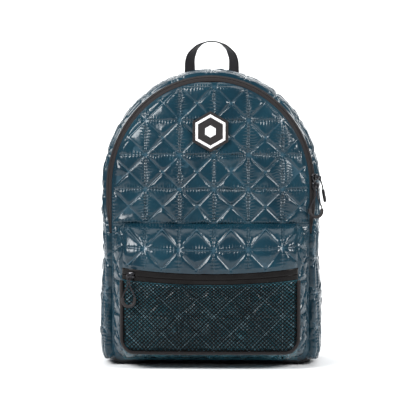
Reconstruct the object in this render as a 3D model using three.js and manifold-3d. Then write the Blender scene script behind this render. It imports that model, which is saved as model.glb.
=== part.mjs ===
import * as THREE from "three";
import { mergeVertices } from "three/addons/utils/BufferGeometryUtils.js";
import Module from "manifold-3d";

// A quilted puffer backpack standing on its base. The front faces -Y, +Z is up.
// The origin is on the floor under the middle of the bag. Sizes are in millimetres.

// Body outline, seen from the front, along the seam between front panel and side wall
const seamHalfWidth = 148;
const seamTop = 409;
const archStart = 250;
const cornerRadius = 24;
const baseCornerAngle = Math.PI / 4; // how far the black base runs up each bottom corner

// Body depth, seen from the side
const frontEdgeDepth = 62; // from the middle to the front panel's edge, at the base
const frontLean = 16; // how much less that is at the top
const leanStart = 150;
const backEdgeDepth = 54;
const frontRoll = 9; // how far the front panel's edge lies inside the outline
const backRoll = 6;
const wallRoundness = 7; // higher is a squarer side wall

// Front and back panel crowns
const edgeRollHeight = 6;
const edgeRollLength = 9;
const frontDome = 12;
const domeReach = 138;
const backDome = 3;

// Cloth and quilting
const paddedThickness = 3.2; // a quilted wall at its stitch lines
const puff = 5; // how far a full quilt triangle stands above its stitch lines
const quiltPitch = 48; // side of a quilt square, which two diagonals cross
const quiltOffset = 5; // the columns are set off the middle by this
const wallRows = 2.5; // quilt squares across the side wall
const tapeThickness = 1.6;
const baseThickness = 2.6;
const backThickness = 6;
const gap = 0.3; // between neighbouring pieces
const panelGap = 0.7; // where the thick edges of a panel and the wall meet at an angle

// Main zip
const zipWidth = 14;
const zipRise = 0.8; // the tape halves stand this far above the wall
const zipEndHeight = 187;
const zipTaper = 45; // length over which the band narrows towards its end
const zipEndShare = 0.35; // width of the blunt end, as a share of the band
const zipEndStep = 1.5; // length in which the cloth closes under the blunt end

// Front pocket
const pocketFaceHalfWidth = 122;
const pocketGusset = 13; // the side gussets reach this much wider than the face
const pocketHalfWidth = pocketFaceHalfWidth + pocketGusset;
const pocketTop = 202;
const pocketBottom = 12;
const pocketDepth = 33;
const pocketDome = 4;
const pocketCorner = 20;
const pocketSquareness = 14; // higher is a boxier pocket, seen from above
const pocketShoulder = 44; // height in which the top slopes out to full depth
const pocketToe = 22; // height in which the bottom slopes back in
const pocketClearance = 3.6; // between the pocket's rim and the front panel
const pocketSag = 7; // the zip hangs this much lower in its middle
const pocketZipTop = 143;
const pocketZipWidth = 17;
const pocketPuff = 3.2; // the quilting below the zip, pressed flat by the net
const netBottom = 23;
const netThickness = 0.8;
const bindingWidth = 4;
const bindingRise = 0.8;
const netGap = 1.2; // the net bridges the quilting this far above its puffs
const netCorner = 17;

// Badge
const badgeWidth = 50; // across two flat sides
const badgeThickness = 2.4;
const badgeHeight = 330;
const badgeSeat = 2.4; // the quilting under the badge is pressed down to this
const badgeMargin = 4;
const badgeRimWidth = 4;
const badgeLineWidth = 3.6;
const badgeLineRise = 0.9;
const badgeHeartWidth = 15;

// Webbing handle
const handleWidth = 20;
const handleThickness = 2;
const handleRadius = 32;
const handleTop = 456;
const handleRoot = 384; // lowest stitched end, on the back panel
const handleLean = 12; // the loop's top leans this far towards the front

// Sliders and their pulls
const sliderLength = 11;
const sliderWidth = 9;
const sliderThickness = 3;
const bridgeRise = 6;
const bridgeWire = 2;
const cordDiameter = 2;
const gripDiameter = 4.6;
const gripSpan = 16.5; // between the middles of the grip's two arms
const gripArm = 4; // straight length of each arm above the bend
const pullDrop = 33; // from the slider's bridge to the grip's arm ends

// Shoulder straps
const padWidth = 62;
const padEndWidth = 46;
const padThickness = 9;
const strapBow = 50; // how far the straps stand off the back's edge at most
const strapTopX = 46;
const strapLowX = 91;
const strapLowHeight = 130;
const webbingWidth = 25;
const webbingThickness = 1.8;
const webbingTail = 85;
const lockWidth = 33;
const lockHeight = 24;
const lockBar = 3.2;
const yokeHalfWidth = 84;
const yokeHeight = 34;
const yokeTaper = 22; // narrower at its top by this much on each side
const yokeThickness = 3;
const anchorThickness = 2;
const anchorTile = 22; // side of the tiles that follow the back's curve under a patch
const tabLength = 10;
const yokeTop = 372;
const anchorInset = 15; // from the seam to the outer edge of a strap's sewn patch
const mainSliderHeight = 254;
const pocketSliderInset = 13; // from the face's left edge

const wasm = await Module();
wasm.setup();

const lerp = THREE.MathUtils.lerp;
const clamp = THREE.MathUtils.clamp;
const smooth = (x) => THREE.MathUtils.smoothstep(x, 0, 1);
const at = (x, y, z) => new THREE.Vector3(x, y, z);

// Reads a short table of { at, value } rows, easing from each row to the next.
function readTable(rows, where) {
  const next = rows.findIndex((row) => row.at >= where);
  if (next < 0) return rows[rows.length - 1].value;
  if (next === 0) return rows[0].value;
  const from = rows[next - 1];
  const to = rows[next];
  return lerp(from.value, to.value, smooth((where - from.at) / (to.at - from.at)));
}

// The side wall swells past the seam by this much, by height as a share of the seam's top.
const wallSwell = [
  { at: 0.0, value: 1.8 },
  { at: 0.06, value: 1.8 },
  { at: 0.22, value: 3.5 },
  { at: 0.39, value: 0.5 },
  { at: 0.56, value: 2.5 },
  { at: 0.8, value: 2 },
  { at: 1.0, value: 2 },
];

// Body outline as a function of the length along it from the middle of the bottom,
// first up the right side, then over the top and down the left side.
const bottomRun = seamHalfWidth - cornerRadius;
const cornerRun = (cornerRadius * Math.PI) / 2;
const sideRun = archStart - cornerRadius;
const archRise = seamTop - archStart;
const archSteps = 240;
const archLengths = [0];
const archPoint = (turn) => [seamHalfWidth * Math.cos(turn), archStart + archRise * Math.sin(turn)];
for (let i = 1; i <= archSteps; i++) {
  const [x0, z0] = archPoint(((i - 1) / archSteps) * (Math.PI / 2));
  const [x1, z1] = archPoint((i / archSteps) * (Math.PI / 2));
  archLengths.push(archLengths[i - 1] + Math.hypot(x1 - x0, z1 - z0));
}
const archRun = archLengths[archSteps];
const halfRun = bottomRun + cornerRun + sideRun + archRun;

function halfOutline(along) {
  if (along <= bottomRun) return { x: along, z: 0, nx: 0, nz: -1 };
  if (along <= bottomRun + cornerRun) {
    const turn = (along - bottomRun) / cornerRadius;
    return {
      x: bottomRun + cornerRadius * Math.sin(turn),
      z: cornerRadius * (1 - Math.cos(turn)),
      nx: Math.sin(turn),
      nz: -Math.cos(turn),
    };
  }
  const up = along - bottomRun - cornerRun;
  if (up <= sideRun) return { x: seamHalfWidth, z: cornerRadius + up, nx: 1, nz: 0 };
  const wanted = Math.min(up - sideRun, archRun);
  const i = clamp(archLengths.findIndex((l) => l >= wanted), 1, archSteps);
  const part = (wanted - archLengths[i - 1]) / (archLengths[i] - archLengths[i - 1]);
  const turn = ((i - 1 + part) / archSteps) * (Math.PI / 2);
  const [x, z] = archPoint(turn);
  const normal = new THREE.Vector2(Math.cos(turn) / seamHalfWidth, Math.sin(turn) / archRise).normalize();
  return { x, z, nx: normal.x, nz: normal.y };
}

function outlineAt(along) {
  const wrapped = ((along % (2 * halfRun)) + 2 * halfRun) % (2 * halfRun);
  if (wrapped <= halfRun) return halfOutline(wrapped);
  const mirrored = halfOutline(2 * halfRun - wrapped);
  return { x: -mirrored.x, z: mirrored.z, nx: -mirrored.nx, nz: mirrored.nz };
}

// How far along the outline a height on the right-hand straight side lies.
const alongAtHeight = (height) => bottomRun + cornerRun + height - cornerRadius;

// Body depth
const frontEdgeY = (z) => -frontEdgeDepth + frontLean * smooth((z - leanStart) / (seamTop - leanStart));

// A point of the side wall or base: along the outline, and its share of the depth from front to back.
function wallAtShare(along, share) {
  const o = outlineAt(along);
  const y = lerp(frontEdgeY(o.z), backEdgeDepth, share);
  const swell = readTable(wallSwell, o.z / seamTop);
  const round = 1 - Math.abs(2 * share - 1) ** wallRoundness;
  const out = lerp(-frontRoll, -backRoll, share) + (swell + (frontRoll + backRoll) / 2) * round;
  return at(o.x + out * o.nx, y, Math.max(0, o.z + out * o.nz));
}

const sectionSteps = 48;
function sectionLengths(along) {
  const lengths = [0];
  let before = wallAtShare(along, 0);
  for (let i = 1; i <= sectionSteps; i++) {
    const here = wallAtShare(along, i / sectionSteps);
    lengths.push(lengths[i - 1] + here.distanceTo(before));
    before = here;
  }
  return lengths;
}

// The same point by its distance over the cloth from the front panel's edge.
function wallAt(along, across) {
  const lengths = sectionLengths(along);
  const wanted = clamp(across, 0, lengths[sectionSteps]);
  const i = Math.max(1, lengths.findIndex((l) => l >= wanted - 1e-9));
  const part = (wanted - lengths[i - 1]) / (lengths[i] - lengths[i - 1]);
  return wallAtShare(along, (i - 1 + part) / sectionSteps);
}
const wallWidth = (along) => sectionLengths(along)[sectionSteps];

// Width of the main zip's band: none below its ends, tapered above them.
const zipStart = alongAtHeight(zipEndHeight);
function zipWidthAt(along) {
  const inside = Math.min(along, 2 * halfRun - along) - zipStart;
  if (inside <= -zipEndStep) return 0;
  if (inside <= 0) return zipWidth * zipEndShare * (1 + inside / zipEndStep);
  return zipWidth * lerp(zipEndShare, 1, smooth(inside / zipTaper));
}

// The quilted side wall runs from one end of the base over the top to the other.
const wallStart = bottomRun + cornerRadius * baseCornerAngle;
const wallRun = 2 * (halfRun - wallStart);
const wallColumns = Math.round(wallRun / quiltPitch);
const wallPitch = wallRun / wallColumns;
const cornerSteps = 3;
const wallStations = [];
for (let i = 0; i <= 2 * wallColumns; i++) wallStations.push(wallStart + (i * wallPitch) / 2);
for (let i = 1; i <= cornerSteps; i++) {
  const up = bottomRun + cornerRadius * lerp(baseCornerAngle, Math.PI / 2, i / cornerSteps);
  wallStations.push(up, 2 * halfRun - up);
}
wallStations.sort((a, b) => a - b);
const zipStations = [zipStart + gap, zipStart + zipTaper / 2, zipStart + zipTaper];
for (const s of [zipStart - zipEndStep, ...zipStations]) wallStations.push(s, 2 * halfRun - s);
wallStations.sort((a, b) => a - b);

const baseStations = [];
const baseRunSteps = 4;
for (let i = -baseRunSteps; i <= baseRunSteps; i++) baseStations.push((i * bottomRun) / baseRunSteps);
for (let i = 1; i <= cornerSteps; i++) {
  const up = bottomRun + (cornerRadius * baseCornerAngle * i) / cornerSteps;
  baseStations.push(up, -up);
}
baseStations.sort((a, b) => a - b);

// The outline of the front or back panel, inside the seam by the roll of its edge.
function panelRegion(roll) {
  const stations = [...baseStations, ...wallStations.slice(1, -1)];
  return stations.map((along) => {
    const o = outlineAt(along);
    return [o.x - (roll + panelGap) * o.nx, o.z - (roll + panelGap) * o.nz];
  });
}

const outlineSamples = [];
const sampleCount = 900;
for (let i = 0; i < sampleCount; i++) outlineSamples.push(outlineAt((i / sampleCount) * 2 * halfRun));

// How far a point of a panel lies inside that panel's edge.
function insetAt(x, z, roll) {
  let best = Infinity;
  let inset = 0;
  for (const o of outlineSamples) {
    const dx = x - o.x + roll * o.nx;
    const dz = z - o.z + roll * o.nz;
    const far = dx * dx + dz * dz;
    if (far < best) {
      best = far;
      inset = -(dx * o.nx + dz * o.nz);
    }
  }
  return inset;
}

function crown(inset, dome) {
  if (inset < 0) return inset * (edgeRollHeight / edgeRollLength + (2 * dome) / domeReach);
  const roll = edgeRollHeight * (1 - Math.exp(-inset / edgeRollLength));
  return roll + dome * (1 - (1 - Math.min(inset / domeReach, 1)) ** 2);
}

const frontPanelAt = (x, z) => at(x, frontEdgeY(z) - crown(insetAt(x, z, frontRoll), frontDome), z);
const backPanelAt = (x, z) => at(x, backEdgeDepth + crown(insetAt(x, z, backRoll), backDome), z);

// Pocket: a shell over the lower front panel, laid out by x and an even height.
const cornerDrop = (x) => {
  const over = clamp(Math.abs(x) - (pocketHalfWidth - pocketCorner), 0, pocketCorner);
  return pocketCorner - Math.sqrt(pocketCorner ** 2 - over ** 2);
};
const pocketMiddle = (pocketTop + pocketBottom) / 2;

function pocketAt(x, even) {
  const up = smooth((even - pocketMiddle) / (pocketTop - pocketMiddle));
  const down = smooth((pocketMiddle - even) / (pocketMiddle - pocketBottom));
  const nearZip = 1 - Math.abs(even - pocketZipTop) / (pocketTop - pocketZipTop);
  const sag = pocketSag * ((x / pocketFaceHalfWidth) ** 2 - 1) * smooth(nearZip);
  const z = even + sag + cornerDrop(x) * (down - up);
  const across = 1 - Math.abs(x / pocketHalfWidth) ** pocketSquareness;
  const shoulder = 1 - Math.max(0, 1 - (pocketTop - even) / pocketShoulder) ** 2;
  const toe = 1 - Math.max(0, 1 - (even - pocketBottom) / pocketToe) ** 2;
  const dome = pocketDome * (1 - (x / pocketHalfWidth) ** 2);
  const out = pocketClearance + (pocketDepth + dome) * across * shoulder * toe;
  return at(x, frontPanelAt(x, z).y - out, z);
}

// Geometry from triangles whose corners are given as points, with shared corners merged.
function closedGeometry(corners) {
  const geometry = new THREE.BufferGeometry();
  const positions = new THREE.Float32BufferAttribute(corners.flatMap((p) => [p.x, p.y, p.z]), 3);
  geometry.setAttribute("position", positions);
  const merged = mergeVertices(geometry, 1e-3);
  merged.computeVertexNormals();
  return merged;
}

// Cuts a convex ring of points along a line, and keeps the side on the line's left.
function keepLeft(ring, from, to) {
  const side = ([a, b]) => (to[0] - from[0]) * (b - from[1]) - (to[1] - from[1]) * (a - from[0]);
  const kept = [];
  ring.forEach((here, i) => {
    const next = ring[(i + 1) % ring.length];
    const sideHere = side(here);
    const sideNext = side(next);
    if (sideHere >= 0) kept.push(here);
    if (sideHere > 0 !== sideNext > 0 && sideHere !== 0 && sideNext !== 0) {
      const part = sideHere / (sideHere - sideNext);
      kept.push([lerp(here[0], next[0], part), lerp(here[1], next[1], part)]);
    }
  });
  return kept;
}

function clipTo(ring, region) {
  let kept = ring;
  region.forEach((from, i) => {
    if (kept.length) kept = keepLeft(kept, from, region[(i + 1) % region.length]);
  });
  return kept;
}

const cross2 = ([a, b], [c, d]) => a * d - b * c;
const areaOf = (ring) => ring.reduce((sum, p, i) => sum + cross2(p, ring[(i + 1) % ring.length]) / 2, 0);
const roundOf = (ring) =>
  ring.reduce((sum, p, i) => {
    const q = ring[(i + 1) % ring.length];
    return sum + Math.hypot(p[0] - q[0], p[1] - q[1]);
  }, 0);
const box = (a0, b0, a1, b1) => [[a0, b0], [a1, b0], [a1, b1], [a0, b1]];

// Quilt tiles: squares that both diagonals cut into four triangles, clipped to a convex region.
function quiltTiles(region, pitchA, pitchB, originA, originB, split = true) {
  const as = region.map((p) => p[0]);
  const bs = region.map((p) => p[1]);
  const tiles = [];
  const first = Math.floor((Math.min(...as) - originA) / pitchA);
  const last = Math.ceil((Math.max(...as) - originA) / pitchA);
  const low = Math.floor((Math.min(...bs) - originB) / pitchB);
  const high = Math.ceil((Math.max(...bs) - originB) / pitchB);
  for (let i = first; i < last; i++) {
    for (let j = low; j < high; j++) {
      const a0 = originA + i * pitchA;
      const b0 = originB + j * pitchB;
      const corners = box(a0, b0, a0 + pitchA, b0 + pitchB);
      const middle = [a0 + pitchA / 2, b0 + pitchB / 2];
      const parts = split ? corners.map((c, k) => [c, corners[(k + 1) % 4], middle]) : [corners];
      for (const part of parts) {
        const kept = clipTo(part, region);
        if (kept.length > 2 && areaOf(kept) > 1e-4 * pitchA * pitchB) tiles.push(kept);
      }
    }
  }
  return tiles;
}

function gridTiles(columns, rows) {
  const tiles = [];
  for (let i = 1; i < columns.length; i++)
    for (let j = 1; j < rows.length; j++) tiles.push(box(columns[i - 1], rows[j - 1], columns[i], rows[j]));
  return tiles;
}

// Adds points where an edge at one of the given levels passes one of the given places.
function addStations(ring, places, levels) {
  return ring.flatMap((here, i) => {
    const next = ring[(i + 1) % ring.length];
    const level = levels.some((b) => Math.abs(here[1] - b) < 1e-6 && Math.abs(next[1] - b) < 1e-6);
    if (!level) return [here];
    const low = Math.min(here[0], next[0]) + 1e-3;
    const high = Math.max(here[0], next[0]) - 1e-3;
    const between = places.filter((a) => a > low && a < high).map((a) => [a, here[1]]);
    return [here, ...(next[0] > here[0] ? between : between.reverse())];
  });
}

// Adds points where any edge crosses one of the given rows or columns.
function addCrossings(ring, columns, rows) {
  return ring.flatMap((here, i) => {
    const next = ring[(i + 1) % ring.length];
    const shares = [];
    [columns, rows].forEach((places, axis) => {
      const step = next[axis] - here[axis];
      if (Math.abs(step) < 1e-6) return;
      for (const place of places) shares.push((place - here[axis]) / step);
    });
    const inside = shares.filter((s) => s > 0.02 && s < 0.98).sort((a, b) => a - b);
    const apart = inside.filter((s, k) => k === 0 || s - inside[k - 1] > 0.02);
    return [here, ...apart.map((s) => [lerp(here[0], next[0], s), lerp(here[1], next[1], s)])];
  });
}

// Fills a ring with triangles, around its middle if that is given.
function fan(ring, middle, face) {
  if (middle) ring.forEach((p, i) => face(middle, p, ring[(i + 1) % ring.length]));
  else for (let i = 2; i < ring.length; i++) face(ring[0], ring[i - 1], ring[i]);
}

// A shell of cloth over a surface. Each tile puffs out by its size, between its stitched edges.
function shell(options) {
  const { tiles, place, facing, thickness, lift = () => 0, base = 0 } = options;
  const { stepA = 0.5, stepB = 0.5, peaked = false } = options;
  const index = new Map();
  const outer = [];
  const inner = [];
  const normals = [];
  const frameAt = ([a, b]) => {
    const point = place(a, b);
    const along = place(a + stepA, b).sub(place(a - stepA, b));
    const across = place(a, b + stepB).sub(place(a, b - stepB));
    return { point, normal: along.cross(across).normalize().multiplyScalar(facing) };
  };
  const find = (p) => {
    const key = p[0].toFixed(4) + " " + p[1].toFixed(4);
    if (!index.has(key)) {
      const { point, normal } = frameAt(p);
      index.set(key, outer.length);
      outer.push(point.clone().addScaledVector(normal, base));
      inner.push(point.clone().addScaledVector(normal, -thickness));
      normals.push(normal);
    }
    return index.get(key);
  };
  const corners = [];
  const face = (a, b, c) => corners.push(...(facing > 0 ? [a, b, c] : [a, c, b]));
  const edges = new Map();
  for (const tile of tiles) {
    const ids = tile.map(find).filter((id, i, all) => id !== all[(i + 1) % all.length]);
    if (ids.length < 3) continue;
    const middle = tile.reduce((sum, p) => [sum[0] + p[0] / tile.length, sum[1] + p[1] / tile.length], [0, 0]);
    const rise = lift(tile, middle);
    ids.forEach((id, i) => {
      const next = ids[(i + 1) % ids.length];
      edges.set(id + " " + next, [id, next]);
    });
    const centre = frameAt(middle);
    const straight = tile.some((p, i) => i > 1 && areaOf([tile[0], tile[i - 1], p]) < 1e-9);
    const peak = centre.point.clone().addScaledVector(centre.normal, base + rise);
    if (rise > 0 && peaked) {
      fan(ids.map((id) => outer[id]), peak, face);
    } else if (rise > 0) {
      const shoulders = ids.map((id) =>
        outer[id].clone().lerp(centre.point, 0.42).addScaledVector(normals[id], rise * 0.86),
      );
      ids.forEach((id, i) => {
        const k = (i + 1) % ids.length;
        face(outer[id], outer[ids[k]], shoulders[k]);
        face(outer[id], shoulders[k], shoulders[i]);
        face(shoulders[i], shoulders[k], peak);
      });
    } else {
      fan(ids.map((id) => outer[id]), straight && peak, face);
    }
    const floor = straight && centre.point.clone().addScaledVector(centre.normal, -thickness);
    fan(ids.map((id) => inner[id]).reverse(), floor, face);
  }
  for (const [from, to] of edges.values()) {
    if (edges.has(to + " " + from)) continue;
    face(outer[from], inner[from], inner[to]);
    face(outer[from], inner[to], outer[to]);
  }
  return closedGeometry(corners);
}

// A body through rings of points, each ring a closed section with the same number of points.
function loft(rings) {
  const corners = [];
  const count = rings[0].length;
  for (let i = 1; i < rings.length; i++) {
    for (let j = 0; j < count; j++) {
      const k = (j + 1) % count;
      corners.push(rings[i - 1][j], rings[i - 1][k], rings[i][k]);
      corners.push(rings[i - 1][j], rings[i][k], rings[i][j]);
    }
  }
  const last = rings[rings.length - 1];
  for (let j = 2; j < count; j++) {
    corners.push(rings[0][0], rings[0][j], rings[0][j - 1]);
    corners.push(last[0], last[j - 1], last[j]);
  }
  return closedGeometry(corners);
}

// A flat band along a path. Each stop gives its middle, its width's direction and its face's direction.
function band(stops, width, thickness, crownRise = 0) {
  const shape = [
    [-0.5, 0.3], [-0.5, -0.3], [-0.42, -0.5], [0.42, -0.5], [0.5, -0.3], [0.5, 0.3], [0.42, 0.5], [-0.42, 0.5],
  ];
  return loft(
    stops.map(({ middle, side, out, scale = 1 }) =>
      shape.map(([a, b]) => {
        const rise = b * thickness + (Math.abs(a) < 0.45 && b > 0 ? crownRise : 0);
        return middle.clone().addScaledVector(side, a * width * scale).addScaledVector(out, rise);
      }),
    ),
  );
}

function asSolid(geometry) {
  const bare = new THREE.BufferGeometry().setAttribute("position", geometry.getAttribute("position"));
  if (geometry.index) bare.setIndex(geometry.index);
  const merged = mergeVertices(bare.index ? bare.toNonIndexed() : bare, 1e-3);
  return new wasm.Manifold(
    new wasm.Mesh({
      numProp: 3,
      vertProperties: merged.attributes.position.array,
      triVerts: new Uint32Array(merged.index.array),
    }),
  );
}

function asGeometry(solid) {
  const mesh = solid.getMesh();
  const geometry = new THREE.BufferGeometry();
  geometry.setAttribute("position", new THREE.BufferAttribute(new Float32Array(mesh.vertProperties), 3));
  geometry.setIndex(new THREE.BufferAttribute(mesh.triVerts, 1));
  geometry.computeVertexNormals();
  return geometry;
}

const join = (first, ...rest) =>
  asGeometry(rest.reduce((sum, geometry) => sum.add(asSolid(geometry)), asSolid(first)));

const finish = (color, roughness, metalness = 0) =>
  new THREE.MeshStandardMaterial({ color, roughness, metalness });
const quiltedNylon = finish(0x1f4655, 0.38);
const baseCloth = finish(0x17181b, 0.6);
const zipTape = finish(0x39353a, 0.5);
const coatedZip = finish(0x2a2729, 0.35);
const webbing = finish(0x3c3940, 0.85);
const netting = finish(0x1d2228, 0.75);
const rubber = finish(0x2e2b2d, 0.6);
const whiteRubber = finish(0xece9ec, 0.5);
const sliderMetal = finish(0x26262a, 0.35, 0.8);
const backCloth = finish(0x232429, 0.9);
const hardPlastic = finish(0x1c1c1f, 0.45);

const bag = new THREE.Group();

function add(name, geometry, material, parent = bag) {
  const mesh = new THREE.Mesh(geometry, material);
  mesh.name = name;
  parent.add(mesh);
  return mesh;
}

const fullInradius = (quiltPitch * (Math.SQRT2 - 1)) / 2;
const puffOf = (height, scale = 1) => (tile) =>
  height * Math.min(1, ((2 * areaOf(tile)) / roundOf(tile)) * (scale / fullInradius));

// Front panel: quilted above the pocket, plain behind it
const plainHalves = [67, pocketFaceHalfWidth - 3, pocketFaceHalfWidth + 6, pocketHalfWidth, seamHalfWidth];
const plainColumns = [...plainHalves.map((x) => -x).reverse(), quiltOffset, ...plainHalves];
const plainRows = [0, 13, 20, 30, 60, 130, pocketTop];
function makeFrontPanel() {
  const region = panelRegion(frontRoll);
  const wide = seamHalfWidth * 2;
  const above = clipTo(region, box(-wide, pocketTop, wide, seamTop * 2));
  const quiltColumns = [];
  for (let i = -4; i <= 4; i++) quiltColumns.push(quiltOffset + i * quiltPitch);
  const plain = gridTiles(plainColumns, plainRows).map((tile) => clipTo(tile, region));
  const tiles = [
    ...quiltTiles(above, quiltPitch, quiltPitch, quiltOffset, pocketTop),
    ...plain.filter((tile) => tile.length > 2 && areaOf(tile) > 1e-3),
  ].map((tile) => addStations(tile, [...quiltColumns, ...plainColumns], [pocketTop]));
  const badgeReach = badgeWidth / Math.sqrt(3) + badgeMargin;
  const triangle = puffOf(puff);
  const lift = (tile, [x, z]) => {
    if (z < pocketTop) return 0;
    const near = tile.some(([a, b]) => Math.hypot(a, b - badgeHeight) < badgeReach);
    const inside = near || Math.hypot(x, z - badgeHeight) < badgeReach;
    return Math.min(triangle(tile), inside ? badgeSeat : puff);
  };
  const cloth = shell({ tiles, place: frontPanelAt, facing: 1, thickness: paddedThickness, lift });
  add("front_panel", cloth, quiltedNylon);
}

// Side wall: one quilted strip up both sides and over the top
function makeSideWall() {
  const rowPitch = 1 / wallRows;
  const region = box(wallStart + gap / 2, 0, wallStart + wallRun - gap / 2, 1);
  const tiles = quiltTiles(region, wallPitch, rowPitch, wallStart, 0.5 - rowPitch).map((tile) =>
    addStations(tile, wallStations, [0, 1]),
  );
  const place = (along, share) => {
    const from = zipWidthAt(along) + gap;
    return wallAt(along, lerp(from, wallWidth(along) - gap, clamp(share, 0, 1)));
  };
  const strip = wallWidth(halfRun);
  const lift = (tile) => puffOf(puff)(tile.map(([a, b]) => [a, b * strip]));
  const padding = { facing: -1, thickness: paddedThickness, lift, stepB: 0.004, peaked: true };
  add("side_wall", shell({ tiles, place, ...padding }), quiltedNylon);
}

// Base: a smooth black tray that lies flat on the floor
function makeBase() {
  const rows = [0, 0.03, 0.08, 0.18, 0.82, 0.92, 0.97, 1];
  const columns = baseStations.map((s) => clamp(s, -wallStart + gap / 2, wallStart - gap / 2));
  const place = (along, share) => wallAt(along, wallWidth(along) * clamp(share, 0, 1));
  const geometry = shell({
    tiles: gridTiles(columns, rows),
    place,
    facing: -1,
    thickness: baseThickness,
    stepB: 0.004,
  });
  add("base", geometry, baseCloth);
}

// Back panel: plain padded cloth against the wearer
function makeBackPanel() {
  const tiles = quiltTiles(panelRegion(backRoll), quiltPitch, quiltPitch, 0, 0, false);
  add("back_panel", shell({ tiles, place: backPanelAt, facing: -1, thickness: backThickness }), backCloth);
}

// A zip band's section: two raised tape halves with a groove between them
const zipProfile = [
  { share: 0, rise: 0.1 },
  { share: 0.06, rise: zipRise },
  { share: 0.46, rise: zipRise },
  { share: 0.5, rise: 0.15 },
  { share: 0.54, rise: zipRise },
  { share: 0.94, rise: zipRise },
  { share: 1, rise: 0.1 },
];
function zipRing(place, edge, far) {
  const outer = zipProfile.map(({ share, rise }) => place(lerp(edge, far, share), rise));
  return [...outer, place(far, -tapeThickness), place(edge, -tapeThickness)];
}

function surfacePoint(place, a, b, rise, facing, stepB = 0.5) {
  const along = place(a + 0.5, b).sub(place(a - 0.5, b));
  const across = place(a, b + stepB).sub(place(a, b - stepB));
  const normal = along.cross(across).normalize().multiplyScalar(facing);
  return place(a, b).addScaledVector(normal, rise);
}

function makeMainZip() {
  const inside = wallStations.filter((s) => s >= zipStart + gap && s <= 2 * halfRun - zipStart - gap);
  const rings = inside.map((along) => {
    const place = (across, rise) => surfacePoint(wallAt, along, across, rise, -1);
    return zipRing(place, gap, zipWidthAt(along));
  });
  add("main_zip", loft(rings), zipTape);
}

// Pocket: a padded top over the zip, two side walls, and a lower face under the net
const pocketQuiltRow = pocketTop - 0.63 * quiltPitch;
const pocketBendRows = [16, 22, 28, 34, 161, 173, 184, 194];
const pocketBends = [pocketFaceHalfWidth - 6, pocketHalfWidth - 6];
const pocketBendColumns = [-pocketBends[1], -pocketBends[0], ...pocketBends];
function pocketShell(name, left, right, low, high, height) {
  const region = box(left, low, right, high);
  const tiles = quiltTiles(region, quiltPitch, quiltPitch, quiltOffset, pocketQuiltRow);
  const geometry = shell({
    tiles: tiles.map((tile) => addCrossings(tile, pocketBendColumns, pocketBendRows)),
    place: pocketAt,
    facing: 1,
    thickness: paddedThickness,
    lift: puffOf(height),
    peaked: true,
  });
  return add(name, geometry, quiltedNylon);
}

function makePocket() {
  const face = pocketFaceHalfWidth;
  const zipLow = pocketZipTop - pocketZipWidth;
  pocketShell("pocket_top", -face, face, pocketZipTop + gap / 2, pocketTop, puff);
  pocketShell("pocket_lower", -face, face, pocketBottom, zipLow - gap / 2, pocketPuff);
  pocketShell("pocket_side_right", face + gap * 1.5, pocketHalfWidth, pocketBottom, pocketTop, pocketPuff);
  pocketShell("pocket_side_left", -pocketHalfWidth, -face - gap * 1.5, pocketBottom, pocketTop, pocketPuff);
}

const raisedPocket = (x, even, rise) => surfacePoint(pocketAt, x, even, rise, 1);

function makePocketZip() {
  const steps = 16;
  const rings = [];
  for (let i = 0; i <= steps; i++) {
    const x = lerp(-pocketFaceHalfWidth, pocketFaceHalfWidth, i / steps);
    const place = (even, rise) => raisedPocket(x, even, rise);
    rings.push(zipRing(place, pocketZipTop - gap / 2, pocketZipTop - pocketZipWidth + gap / 2));
  }
  add("pocket_zip", loft(rings), coatedZip);
}

// The net over the pocket's lower face, and the binding round its two sides and foot
const netHalfWidth = pocketFaceHalfWidth - bindingWidth;
const netTop = pocketZipTop - pocketZipWidth - gap;
const cornerTurnSteps = 4;
function netEdge(inset) {
  const radius = netCorner - inset;
  const reach = pocketFaceHalfWidth - netCorner;
  const low = netBottom + netCorner;
  const points = [];
  for (let i = 0; i <= cornerTurnSteps; i++) {
    const turn = (i / cornerTurnSteps) * (Math.PI / 2);
    points.push([reach + radius * Math.sin(turn), low - radius * Math.cos(turn)]);
  }
  return points;
}

function makeNet() {
  const inset = bindingWidth + gap;
  const right = netEdge(inset);
  const left = right.map(([x, even]) => [-x, even]).reverse();
  const outline = [...left, ...right, [netHalfWidth - gap, netTop], [-netHalfWidth + gap, netTop]];
  const pitch = quiltPitch / 2;
  const tiles = quiltTiles(outline, pitch, pitch, quiltOffset, pocketQuiltRow, false).map((tile) =>
    addCrossings(tile, pocketBendColumns, pocketBendRows),
  );
  const low = pocketPuff + netGap;
  const cloth = shell({ tiles, place: pocketAt, facing: 1, thickness: -low, base: low + netThickness });
  add("net_panel", cloth, netting);
}

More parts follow.
